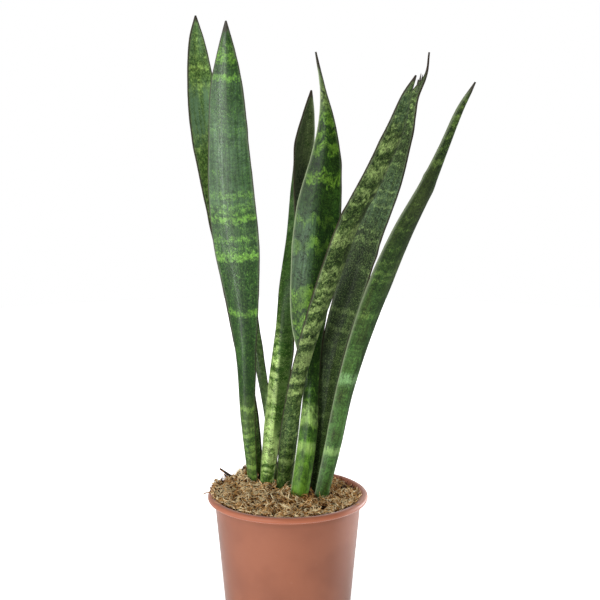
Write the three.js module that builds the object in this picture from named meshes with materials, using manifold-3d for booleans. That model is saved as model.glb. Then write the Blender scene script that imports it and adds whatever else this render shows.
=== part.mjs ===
// A potted snake plant: eight flat, channelled leaves in a moulded plastic pot filled with coir mix.
// Millimetres, +Z up. The origin is the centre of the pot's underside, and +X and +Y are level.
import * as THREE from 'three';
import { mergeVertices } from 'three/addons/utils/BufferGeometryUtils.js';
import Module from 'manifold-3d';

const wasm = await Module();
wasm.setup();

// ---- driving dimensions --------------------------------------------------------------------

// Pot: a tapered wall with a rolled lip, on a flat centre and a flat foot ring. The lip is a
// round bead that is tucked in below, with a groove between it and the wall.
const POT_HEIGHT = 125;
const LIP_RADIUS = 70;
const LIP_SKIN = 1.6;
const LIP_ROUND = 2.8;
const LIP_TUCK = 40;
const MOUTH_ROUND = 3.2;
const GROOVE_Z = 122.1;
const WALL_TOP_Z = 118;
const WALL_TOP_RADIUS = 63.7;
const FOOT_RADIUS = 53;
const FOOT_ROUND = 1.5;
const WALL = 1.2;
const FLOOR = 1.8;
const RECESS_DEPTH = 3;
const RECESS_INNER = 30;
const RECESS_OUTER = 46;
const RECESS_SLOPE = 1.5;
const DRAIN_RADIUS = 3.5;
const DRAIN_COUNT = 8;
const DRAIN_SIDES = 10;
const SIDES = 48;

// Soil: it fills the pot, with a heap at the back left and a hollow at the back right.
const GAP = 0.3;
const SOIL_WALL_Z = 112;
const SOIL_EDGE_Z = 123.6;
const HEAP = { x: -37, y: 40, reach: 14, rise: 10.5 };
const HOLLOW = { x: 52, y: 28, reach: 19, rise: -3.5 };
const CROWN = { x: 0, y: 4, reach: 28, rise: 1.6 };
const SOIL_RINGS = 11;
const LUMP_HEIGHT = 1.5;
const LUMP_WAVES = 6;
const LUMP_WAVE_FIRST = 0.35;
const LUMP_WAVE_STEP = 0.13;
const LUMP_TURN = 2.4;
const EDGE_FADE = 0.13;
const SOIL_SEED = 7;

// Leaves: thickness at the stalk, in the blade and at the margins, and how rounded the keel is.
const STALK_THICK = 4.6;
const BLADE_THICK = 2.6;
const MARGIN_THICK = 1.0;
const THICK_SHARE = 0.42;
const THREAD_THICK = 0.55;
const LENS_POWER = 0.8;
const KEEL_ROUND = 0.35;
const KEEL_CENTRE = 0.45;
const HALF_POINTS = 4;
const LEAF_RINGS = 24;
const HOLE_GAP = 0.4;
const HOLE_TOP_Z = 150;

// Each leaf is a row of stations from its buried end to its tip. A station is its middle
// (x, y, z), the width between the margins, the compass angle that the inner face looks along
// (0 is +Y and 90 is +X), and the channel's depth as a share of half the width.
const LEAVES = [
  { name: 'leaf_back_left', stations: [
    [-22, 37, 94, 8, 170, 0.55],
    [-25.5, 37, 130, 7.5, 170, 0.55],
    [-31, 38, 185, 9, 168, 0.50],
    [-40.5, 40, 240, 10.5, 165, 0.42],
    [-47.8, 42, 298, 18.6, 162, 0.30],
    [-55.5, 44, 352, 24.5, 160, 0.22],
    [-63.5, 46, 400, 28.5, 160, 0.20],
    [-71.8, 47, 446, 27.2, 160, 0.22],
    [-75.5, 48, 483, 22.6, 160, 0.25],
    [-78, 49, 514, 14, 160, 0.30],
    [-78.5, 50, 536, 1.2, 160, 0.20],
  ] },
  { name: 'leaf_front_left', stations: [
    [-30.5, 28, 94, 9, 25, 0.75],
    [-32, 27, 130, 9, 25, 0.75],
    [-35.7, 24, 184, 13.5, 22, 0.62],
    [-37, 20, 240, 18, 20, 0.45],
    [-39.5, 16, 290, 29, 18, 0.28],
    [-44, 11, 340, 40.6, 16, 0.20],
    [-48, 6, 388, 40.5, 14, 0.20],
    [-50, 1, 436, 34.5, 12, 0.22],
    [-50.8, -3, 479, 28, 10, 0.25],
    [-50.5, -6, 511, 15.2, 10, 0.28],
    [-50.4, -9, 537, 1.2, 10, 0.20],
  ] },
  { name: 'leaf_short', stations: [
    [-10, 27, 94, 7, 20, 0.60],
    [-12, 31, 127, 7, 20, 0.60],
    [-16, 38, 174, 7.5, 20, 0.50],
    [-24.5, 45, 227, 9, 15, 0.40],
    [-32.5, 50, 272, 12, 10, 0.30],
    [-39.5, 55, 324, 15, 5, 0.25],
    [-46.5, 60, 375, 13, 5, 0.25],
    [-51, 64, 419, 1.2, 5, 0.20],
  ] },
  { name: 'leaf_folded', stations: [
    [-20, 21, 94, 11, 10, 0.60],
    [-19, 23, 127, 12, 12, 0.60],
    [-15.3, 26, 162, 15, 15, 0.66],
    [-11, 30, 200, 18.5, 20, 0.72],
    [-5.8, 34, 250, 21, 35, 0.75],
    [-3.2, 38, 298, 20.8, 60, 0.70],
    [3, 41, 345, 22, 85, 0.60],
    [7, 42, 388, 25, 110, 0.50],
    [12.8, 42, 426, 22.8, 135, 0.40],
    [17.5, 42, 452, 12.4, 145, 0.30],
    [20.5, 42, 473, 1.2, 150, 0.20],
  ] },
  { name: 'leaf_centre', stations: [
    [5.5, -9, 94, 12, -10, 0.45],
    [11.1, -6, 129, 16, -10, 0.50],
    [18, 0.6, 178, 16.2, -8, 0.55],
    [20.5, 8, 226, 14.5, -5, 0.45],
    [18, 15, 277, 30, 0, 0.26],
    [23, 22, 326, 39.5, 0, 0.20],
    [27, 26, 372, 38.5, 0, 0.20],
    [32.5, 28, 413, 27, 0, 0.24],
    [33.5, 29, 446, 14.5, 0, 0.28],
    [30, 30, 476, 4.5, 0, 0.30],
    [24, 31, 507, 1.2, 0, 0.20],
  ] },
  { name: 'leaf_front', stations: [
    [-7, 16, 94, 11, 0, 0.60],
    [-3.5, 12, 128, 13, 0, 0.60],
    [1.3, 5, 176, 15.2, -5, 0.55],
    [8, -7, 225, 14, -15, 0.45],
    [21, -17, 276, 17.5, -28, 0.35],
    [37.3, -24, 326, 23.3, -36, 0.28],
    [52.3, -31, 370, 24.8, -42, 0.25],
    [72.8, -36, 412, 23.8, -42, 0.25],
    [89.3, -39, 450, 20.2, -40, 0.26],
    [97.5, -41, 478, 10, -38, 0.28],
    [105, -43, 496, 1.2, -38, 0.20],
  ] },
  { name: 'leaf_thread_tip', stations: [
    [21, 9, 94, 9, -150, 0.55],
    [24.6, 9, 130, 10.5, -150, 0.55],
    [32, 10.5, 190, 15.5, -150, 0.50],
    [41, 13.5, 252, 23.6, -150, 0.38],
    [55.2, 13, 305, 28.4, -147, 0.28],
    [69.2, 13, 353, 29.2, -145, 0.22],
    [86, 15, 400, 28, -145, 0.22],
    [99.5, 16, 442, 18, -145, 0.25],
    [107, 17, 470, 9.5, -145, 0.28],
    [116.8, 18, 489, 2.4, -145, 0.25],
    [119.4, 19, 508, 1.2, -145, 0.20],
  ] },
  { name: 'leaf_right', stations: [
    [24, -8, 94, 12, -25, 0.45],
    [31, -9, 130, 13.5, -25, 0.50],
    [40.2, -11, 172, 15.6, -25, 0.55],
    [49.4, -14, 218, 18, -32, 0.48],
    [63, -19, 268, 24, -40, 0.38],
    [79.8, -23, 317, 31, -48, 0.30],
    [97.8, -26, 361, 32, -54, 0.26],
    [116.5, -28, 400, 25, -56, 0.26],
    [130, -29, 433, 16, -56, 0.28],
    [142.8, -30, 466, 10.5, -56, 0.28],
    [154.5, -31, 489, 1.2, -56, 0.20],
  ] },
];

const POT_COLOUR = 0xad6f54;
const SOIL_COLOUR = 0x7c6640;
const LEAF_COLOURS = {
  leaf_back_left: 0x506d3b,
  leaf_front_left: 0x4f7548,
  leaf_short: 0x46573a,
  leaf_folded: 0x809d67,
  leaf_centre: 0x3c6330,
  leaf_front: 0x6c7d48,
  leaf_thread_tip: 0x4a6344,
  leaf_right: 0x566d48,
};

// ---- helpers -------------------------------------------------------------------------------

function solidFrom(geometry) {
  const bare = geometry.clone();
  bare.deleteAttribute('normal');
  bare.deleteAttribute('uv');
  const merged = mergeVertices(bare, 1e-4);
  return new wasm.Manifold(new wasm.Mesh({
    numProp: 3,
    vertProperties: new Float32Array(merged.attributes.position.array),
    triVerts: new Uint32Array(merged.index.array),
  }));
}

function geometryFrom(solid) {
  const mesh = solid.getMesh();
  const geometry = new THREE.BufferGeometry();
  const places = new Float32Array(mesh.vertProperties);
  geometry.setAttribute('position', new THREE.BufferAttribute(places, 3));
  geometry.setIndex(new THREE.BufferAttribute(new Uint32Array(mesh.triVerts), 1));
  geometry.computeVertexNormals();
  return geometry;
}

function geometryOf(points, triangles) {
  const geometry = new THREE.BufferGeometry();
  const places = points.flatMap((p) => p.toArray());
  geometry.setAttribute('position', new THREE.Float32BufferAttribute(places, 3));
  geometry.setIndex(triangles);
  geometry.computeVertexNormals();
  return geometry;
}

// Joins equal rings of points, one after another, and closes both ends with a fan.
function loft(rings) {
  const count = rings[0].length;
  const points = rings.flat();
  const triangles = [];
  for (let r = 0; r < rings.length - 1; r += 1) {
    for (let s = 0; s < count; s += 1) {
      const a = r * count + s;
      const b = r * count + ((s + 1) % count);
      triangles.push(a, b, b + count, a, b + count, a + count);
    }
  }
  for (const [ring, flip] of [[0, true], [rings.length - 1, false]]) {
    const first = ring * count;
    const middle = new THREE.Vector3();
    rings[ring].forEach((p) => middle.addScaledVector(p, 1 / count));
    points.push(middle);
    for (let s = 0; s < count; s += 1) {
      const a = first + s;
      const b = first + ((s + 1) % count);
      triangles.push(points.length - 1, flip ? b : a, flip ? a : b);
    }
  }
  return geometryOf(points, triangles);
}

function named(name, geometry, colour, roughness) {
  const material = new THREE.MeshStandardMaterial({ color: colour, roughness, metalness: 0 });
  const mesh = new THREE.Mesh(geometry, material);
  mesh.name = name;
  return mesh;
}

function randomFrom(seed) {
  let state = seed;
  return () => {
    state = (state * 1664525 + 1013904223) % 4294967296;
    return state / 4294967296;
  };
}

// ---- pot -----------------------------------------------------------------------------------

function wallRadius(z) {
  return FOOT_RADIUS + ((WALL_TOP_RADIUS - FOOT_RADIUS) * z) / WALL_TOP_Z;
}

// The inside of the wall, which is straight up to where the mouth rounds over.
function insideRadius(z) {
  return wallRadius(Math.min(z, POT_HEIGHT - MOUTH_ROUND)) - WALL;
}

function arc(x, z, radius, from, to, steps) {
  return Array.from({ length: steps + 1 }, (_, i) => {
    const angle = THREE.MathUtils.degToRad(from + ((to - from) * i) / steps);
    return [x + radius * Math.cos(angle), z + radius * Math.sin(angle)];
  });
}

function potGeometry() {
  const lipMiddle = [LIP_RADIUS - LIP_ROUND, POT_HEIGHT - LIP_ROUND];
  const floorStep = FLOOR + RECESS_DEPTH;
  const thin = FLOOR / 2;
  const profile = [
    [0, 0],
    [RECESS_INNER, 0],
    [RECESS_INNER + RECESS_SLOPE, RECESS_DEPTH],
    [RECESS_OUTER - RECESS_SLOPE, RECESS_DEPTH],
    [RECESS_OUTER, 0],
    ...arc(FOOT_RADIUS - FOOT_ROUND, FOOT_ROUND, FOOT_ROUND, -90, 0, 2),
    [wallRadius(GROOVE_Z), GROOVE_Z],
    ...arc(...lipMiddle, LIP_ROUND - LIP_SKIN, 0, -LIP_TUCK, 2),
    ...arc(...lipMiddle, LIP_ROUND, -LIP_TUCK, 90, 6),
    ...arc(insideRadius(POT_HEIGHT) + MOUTH_ROUND, POT_HEIGHT - MOUTH_ROUND, MOUTH_ROUND, 90, 180, 3),
    [insideRadius(floorStep), floorStep],
    [insideRadius(FLOOR) - thin, FLOOR],
    [RECESS_OUTER + thin, FLOOR],
    [RECESS_OUTER - RECESS_SLOPE + thin, floorStep],
    [RECESS_INNER + RECESS_SLOPE - thin, floorStep],
    [RECESS_INNER - thin, FLOOR],
    [0, FLOOR],
  ];
  const outline = profile.map(([r, z]) => new THREE.Vector2(r, z));
  let pot = solidFrom(new THREE.LatheGeometry(outline, SIDES).rotateX(Math.PI / 2));
  for (let i = 0; i < DRAIN_COUNT; i += 1) {
    const angle = (2 * Math.PI * (i + 0.5)) / DRAIN_COUNT;
    const reach = (RECESS_INNER + RECESS_OUTER) / 2;
    const hole = new THREE.CylinderGeometry(DRAIN_RADIUS, DRAIN_RADIUS, 4 * FLOOR, DRAIN_SIDES);
    hole.rotateX(Math.PI / 2);
    hole.translate(reach * Math.cos(angle), reach * Math.sin(angle), floorStep - FLOOR / 2);
    pot = pot.subtract(solidFrom(hole));
  }
  return geometryFrom(pot);
}

// ---- leaves --------------------------------------------------------------------------------

// A smooth curve through every column of the stations, from 0 at the first to 1 at the last.
function along(stations, t) {
  const last = stations.length - 1;
  const place = Math.min(Math.max(t, 0), 1) * last;
  const i = Math.min(Math.floor(place), last - 1);
  const f = place - i;
  const at = (k, c) => {
    if (k < 0) return 2 * stations[0][c] - stations[1][c];
    if (k > last) return 2 * stations[last][c] - stations[last - 1][c];
    return stations[k][c];
  };
  return stations[0].map((_, c) => {
    const [a, b, d, e] = [at(i - 1, c), at(i, c), at(i + 1, c), at(i + 2, c)];
    const square = 2 * a - 5 * b + 4 * d - e;
    const cube = 3 * b - a - 3 * d + e;
    return b + 0.5 * ((d - a) * f + square * f ** 2 + cube * f ** 3);
  });
}

// The channel across a leaf, from 0 at the keel to 1 at the margins, and how steep it is there.
function keelCurve(u) {
  return (Math.hypot(u, KEEL_ROUND) - KEEL_ROUND) / (Math.hypot(1, KEEL_ROUND) - KEEL_ROUND);
}

function keelSlope(u) {
  return u / Math.hypot(u, KEEL_ROUND) / (Math.hypot(1, KEEL_ROUND) - KEEL_ROUND);
}

// One ring of a leaf: along the outer face from margin to margin, then back along the inner face.
function leafRing(stations, t, grow) {
  const [x, y, z, span, face, fold] = along(stations, t);
  const middle = new THREE.Vector3(x, y, z);
  const step = 1e-3;
  const ahead = new THREE.Vector3().fromArray(along(stations, t + step));
  const behind = new THREE.Vector3().fromArray(along(stations, t - step));
  const growth = ahead.sub(behind).normalize();
  const turn = THREE.MathUtils.degToRad(face);
  const inward = new THREE.Vector3(Math.sin(turn), Math.cos(turn), 0);
  inward.addScaledVector(growth, -inward.dot(growth)).normalize();
  const across = growth.clone().cross(inward);
  const width = Math.max(span, MARGIN_THICK);
  const channel = (fold * width) / 2;
  const taper = THREE.MathUtils.smoothstep(t, 0.1, 0.5);
  const full = THREE.MathUtils.lerp(STALK_THICK, BLADE_THICK, taper);
  const thick = Math.min(full, THICK_SHARE * width + THREAD_THICK);
  const margin = Math.min(MARGIN_THICK, LENS_POWER * thick);
  if (t === 0) middle.addScaledVector(growth, -grow);
  const ring = [];
  for (const side of [-1, 1]) {
    for (let j = -HALF_POINTS; j <= HALF_POINTS; j += 1) {
      const u = side * Math.sin((Math.PI / 2) * (j / HALF_POINTS));
      const slope = channel * keelSlope(u);
      const flat = Math.hypot(width / 2, slope);
      const half = (margin + (thick - margin) * (1 - u * u) ** LENS_POWER) / 2 + grow;
      const reach = grow * u ** 7;
      const sideways = (u * width) / 2 + (reach * (width / 2) - side * half * slope) / flat;
      const lift = (reach * slope + side * half * (width / 2)) / flat;
      const depth = channel * (keelCurve(u) - KEEL_CENTRE) + lift;
      ring.push(middle.clone().addScaledVector(across, sideways).addScaledVector(inward, depth));
    }
  }
  return ring;
}

function leafGeometry(stations) {
  const rings = [];
  for (let r = 0; r <= LEAF_RINGS; r += 1) rings.push(leafRing(stations, r / LEAF_RINGS, 0));
  return loft(rings);
}

// The hole that a leaf stands in: its own form, a little larger, up to above the soil.
function holeSolid(stations) {
  const rings = [];
  for (let r = 0; r <= LEAF_RINGS; r += 1) {
    const t = r / LEAF_RINGS;
    rings.push(leafRing(stations, t, HOLE_GAP));
    if (along(stations, t)[2] > HOLE_TOP_Z) break;
  }
  return solidFrom(loft(rings));
}

// ---- soil ----------------------------------------------------------------------------------

function mound({ x, y, reach, rise }, px, py) {
  return rise * Math.exp(-((px - x) ** 2 + (py - y) ** 2) / (2 * reach ** 2));
}

const draw = randomFrom(SOIL_SEED);
const LUMPS = Array.from({ length: LUMP_WAVES }, (_, i) => {
  const pace = LUMP_WAVE_FIRST + LUMP_WAVE_STEP * i;
  const turn = LUMP_TURN * i;
  return { x: pace * Math.cos(turn), y: pace * Math.sin(turn), phase: 2 * Math.PI * draw() };
});

function soilHeight(px, py) {
  const reach = Math.hypot(px, py) / insideRadius(SOIL_EDGE_Z);
  const waves = LUMPS.reduce((sum, l) => sum + Math.sin(l.x * px + l.y * py + l.phase), 0);
  const lumps = (LUMP_HEIGHT * waves) / (LUMP_WAVES / 2);
  const raised = mound(HEAP, px, py) + mound(CROWN, px, py) + lumps;
  const fade = THREE.MathUtils.smoothstep(1 - reach, 0, EDGE_FADE);
  return SOIL_EDGE_Z + mound(HOLLOW, px, py) + fade * raised;
}

function soilGeometry(holes) {
  const low = FLOOR + GAP;
  const high = FLOOR + RECESS_DEPTH + GAP;
  const shell = [
    [RECESS_INNER - FLOOR / 2 - GAP, low],
    [RECESS_INNER + RECESS_SLOPE - FLOOR / 2 - GAP, high],
    [RECESS_OUTER - RECESS_SLOPE + FLOOR / 2 + GAP, high],
    [RECESS_OUTER + FLOOR / 2 + GAP, low],
    [insideRadius(FLOOR) - FLOOR / 2 - 2 * GAP, low],
    [insideRadius(high) - 1.5 * GAP, high],
    [insideRadius(SOIL_WALL_Z) - GAP, SOIL_WALL_Z],
  ];
  const around = (place) => Array.from({ length: SIDES }, (_, s) => {
    const angle = (2 * Math.PI * s) / SIDES;
    return place(Math.cos(angle), Math.sin(angle));
  });
  const rings = shell.map(([radius, z]) => around((c, s) => new THREE.Vector3(radius * c, radius * s, z)));
  for (let r = 0; r < SOIL_RINGS; r += 1) {
    rings.push(around((c, s) => {
      const wall = insideRadius(SOIL_EDGE_Z);
      const edge = insideRadius(soilHeight(wall * c, wall * s)) - GAP;
      const radius = edge * (1 - r / SOIL_RINGS);
      return new THREE.Vector3(radius * c, radius * s, soilHeight(radius * c, radius * s));
    }));
  }
  const body = solidFrom(loft(rings));
  return geometryFrom(holes.reduce((solid, hole) => solid.subtract(hole), body));
}

// ---- the part ------------------------------------------------------------------------------

const group = new THREE.Group();
group.add(named('pot', potGeometry(), POT_COLOUR, 0.45));
group.add(named('soil', soilGeometry(LEAVES.map((leaf) => holeSolid(leaf.stations))), SOIL_COLOUR, 0.95));
for (const leaf of LEAVES) {
  group.add(named(leaf.name, leafGeometry(leaf.stations), LEAF_COLOURS[leaf.name], 0.4));
}

export default group;
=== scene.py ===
# %% [markdown]
# # A potted snake plant
#
# Eight flat, channelled leaves stand in coarse coir soil, in a moulded plastic nursery pot.
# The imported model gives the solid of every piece. Here each one gets the surface that the eye
# sees: bands and veins on the leaves, chips and fibres on the soil, and the skin of the plastic.
# All lengths in the tables are millimetres, and `MM` turns them into Blender's metres.

import math
import random
from functools import partial

import bmesh
import bpy
import numpy as np
from mathutils import Matrix, Vector, noise


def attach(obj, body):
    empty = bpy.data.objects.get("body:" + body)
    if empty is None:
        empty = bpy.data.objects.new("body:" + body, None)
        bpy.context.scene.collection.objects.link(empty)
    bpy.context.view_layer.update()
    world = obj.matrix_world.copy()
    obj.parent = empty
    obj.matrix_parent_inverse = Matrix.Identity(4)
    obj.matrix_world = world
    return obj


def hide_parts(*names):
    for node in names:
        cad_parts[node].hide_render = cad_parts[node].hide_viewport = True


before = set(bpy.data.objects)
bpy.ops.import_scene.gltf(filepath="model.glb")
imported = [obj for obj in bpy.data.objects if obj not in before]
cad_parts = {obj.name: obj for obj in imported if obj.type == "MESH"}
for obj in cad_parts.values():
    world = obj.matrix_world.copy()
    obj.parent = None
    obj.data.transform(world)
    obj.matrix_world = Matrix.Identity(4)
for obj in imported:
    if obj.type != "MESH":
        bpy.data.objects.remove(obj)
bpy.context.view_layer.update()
MM = 0.001
print("nodes:", sorted(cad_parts))

# %% Put a thing into the scene
def shown(name, data):
    """An object for this mesh, lamp or camera, linked to the scene."""
    made = bpy.data.objects.new(name, data)
    bpy.context.scene.collection.objects.link(made)
    return made

# %% [markdown]
# ## The camera
#
# A long lens from almost two metres away keeps the pot's lip close to an ellipse and the tall
# leaves straight. It looks down by thirteen degrees, enough to see the soil inside the pot.

# %% Camera
camera_data = bpy.data.cameras.new("plant_camera")
camera_data.lens = 122.87
camera_data.sensor_width = 36
camera = shown("plant_camera", camera_data)
camera.location = (0.01068, -1.70738, 0.69496)
camera.rotation_euler = (math.radians(76.919), 0, 0)
bpy.context.scene.camera = camera

# %% [markdown]
# ## Small helpers for meshes
#
# Each piece is a closed mesh made from a list of rings, because a leaf, a pot and a bed of soil
# are all one outline carried along a path. The rings are joined to each other with quads and the
# two ends are capped, so the mesh holds water.
#
# Holes are cut with a boolean. The manifold solver does it, because the exact one can lose a dense
# bed of soil at a hole, and after each cut the piece is tested for that.

# %% Mesh helpers
def loft(rings):
    """Quads between rings of equal length, with a fan on the middle of each end."""
    rings = np.asarray(rings, float)
    count, around = rings.shape[:2]
    points = np.vstack([rings.reshape(-1, 3), rings[0].mean(0), rings[-1].mean(0)])
    last = (count - 1) * around
    faces = []
    for r in range(count - 1):
        for s in range(around):
            t = (s + 1) % around
            faces.append((r * around + s, r * around + t, (r + 1) * around + t, (r + 1) * around + s))
    for s in range(around):
        t = (s + 1) % around
        faces.append((len(points) - 2, t, s))
        faces.append((len(points) - 1, last + s, last + t))
    return points, faces


def piece(name, points, faces, smooth=True):
    """An object from points in millimetres, linked to the scene."""
    mesh = bpy.data.meshes.new(name)
    mesh.from_pydata((np.asarray(points) * MM).tolist(), [], faces)
    mesh.validate()
    if smooth:
        mesh.polygons.foreach_set("use_smooth", [True] * len(mesh.polygons))
    return shown(name, mesh)


def settled(name, solid):
    """An object from a finished bmesh, linked to the scene."""
    mesh = bpy.data.meshes.new(name)
    solid.to_mesh(mesh)
    solid.free()
    return shown(name, mesh)


def note(made, name, values):
    """Keeps one number for each point, for the finish to read."""
    held = made.data.attributes.new(name, "FLOAT", "POINT")
    held.data.foreach_set("value", np.asarray(values, np.float32))


def cut(made, cutter):
    """Takes the cutter's solid out of the piece and removes the cutter."""
    change = made.modifiers.new("cut", "BOOLEAN")
    change.operation = "DIFFERENCE"
    change.object = cutter
    change.solver = "MANIFOLD"
    bpy.context.view_layer.update()
    holed = made.evaluated_get(bpy.context.evaluated_depsgraph_get())
    shaped = bpy.data.meshes.new_from_object(holed)
    made.modifiers.clear()
    if len(shaped.polygons) < len(made.data.polygons) / 2:
        raise RuntimeError(f"{made.name} was lost when {cutter.name} was cut out of it")
    shaped.materials.clear()
    made.data = shaped
    bpy.data.objects.remove(cutter)


def smoothstep(value, low, high):
    share = np.clip((value - low) / (high - low), 0, 1)
    return share * share * (3 - 2 * share)

# %% [markdown]
# ## Small helpers for finishes
#
# A finish is a tree of nodes. Written out one node at a time it is long and hard to follow, so
# this class keeps one material and adds a node with each short call. Every call gives back the
# output, ready to go into the next.

# %% Finish helpers
def paint(red, green, blue):
    """A screen colour from 0 to 255 as the linear light that the shader wants."""
    screen = (red, green, blue)
    return tuple(((c / 255 + 0.055) / 1.055) ** 2.4 if c > 10 else c / 3294.6 for c in screen) + (1,)


class Finish:
    def __init__(self, name):
        self.material = bpy.data.materials.new(name)
        self.material.use_nodes = True
        self.tree = self.material.node_tree
        self.shader = self.tree.nodes["Principled BSDF"]

    def add(self, kind, **settings):
        made = self.tree.nodes.new("ShaderNode" + kind)
        for name, value in settings.items():
            setattr(made, name, value)
        return made

    def feed(self, socket, value):
        if isinstance(value, bpy.types.NodeSocket):
            self.tree.links.new(value, socket)
        else:
            socket.default_value = value

    def noted(self, name):
        return self.add("Attribute", attribute_name=name).outputs["Fac"]

    def position(self):
        return self.add("TexCoord").outputs["Object"]

    def work_out(self, operation, *values):
        made = self.add("Math", operation=operation)
        for socket, value in zip(made.inputs, values):
            self.feed(socket, value)
        return made.outputs[0]

    def times(self, *values):
        return self.work_out("MULTIPLY", *values)

    def plus(self, *values):
        return self.work_out("ADD", *values)

    def swing(self, value, reach):
        """Noise from 0 to 1 as a swing to both sides of nothing."""
        return self.times(self.plus(value, -0.5), 2 * reach)

    def place(self, x, y, z):
        made = self.add("CombineXYZ")
        for socket, value in zip(made.inputs, (x, y, z)):
            self.feed(socket, value)
        return made.outputs[0]

    def cloud(self, where, scale=1.0, detail=2.0, roughness=0.5):
        made = self.add("TexNoise")
        self.feed(made.inputs["Vector"], where)
        made.inputs["Scale"].default_value = scale
        made.inputs["Detail"].default_value = detail
        made.inputs["Roughness"].default_value = roughness
        return made.outputs["Fac"]

    def fade(self, value, low, high, to_low=0.0, to_high=1.0):
        made = self.add("MapRange", interpolation_type="SMOOTHSTEP")
        for socket, number in zip(made.inputs, (value, low, high, to_low, to_high)):
            self.feed(socket, number)
        return made.outputs[0]

    def mix(self, share, one, other, blend="MIX"):
        made = self.add("Mix", data_type="RGBA", blend_type=blend)
        self.feed(made.inputs[0], share)
        self.feed(made.inputs[6], one)
        self.feed(made.inputs[7], other)
        return made.outputs[2]

    def curve(self, value, points):
        made = self.add("FloatCurve")
        line = made.mapping.curves[0]
        line.points[0].location = points[0]
        line.points[1].location = points[-1]
        for x, y in points[1:-1]:
            line.points.new(x, y)
        for point in line.points:
            point.handle_type = "VECTOR"
        made.mapping.update()
        self.feed(made.inputs["Value"], value)
        return made.outputs[0]

    def bump(self, height, distance, normal=None):
        made = self.add("Bump")
        made.inputs["Distance"].default_value = distance
        self.feed(made.inputs["Height"], height)
        if normal:
            self.feed(made.inputs["Normal"], normal)
        return made.outputs[0]

    def set(self, **values):
        for name, value in values.items():
            self.feed(self.shader.inputs[name.replace("_", " ")], value)

# %% [markdown]
# ## The shape of a leaf
#
# A leaf is a thick blade that is folded like a gutter at its foot and opens flat further up. It
# could be sculpted, but a row of stations from foot to tip says the same with a few numbers: the
# middle of the blade, its width, where its inner face looks and how deep its channel is. These
# are the stations of the solid leaves, so the fine leaf lies exactly where the solid one does.

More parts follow.
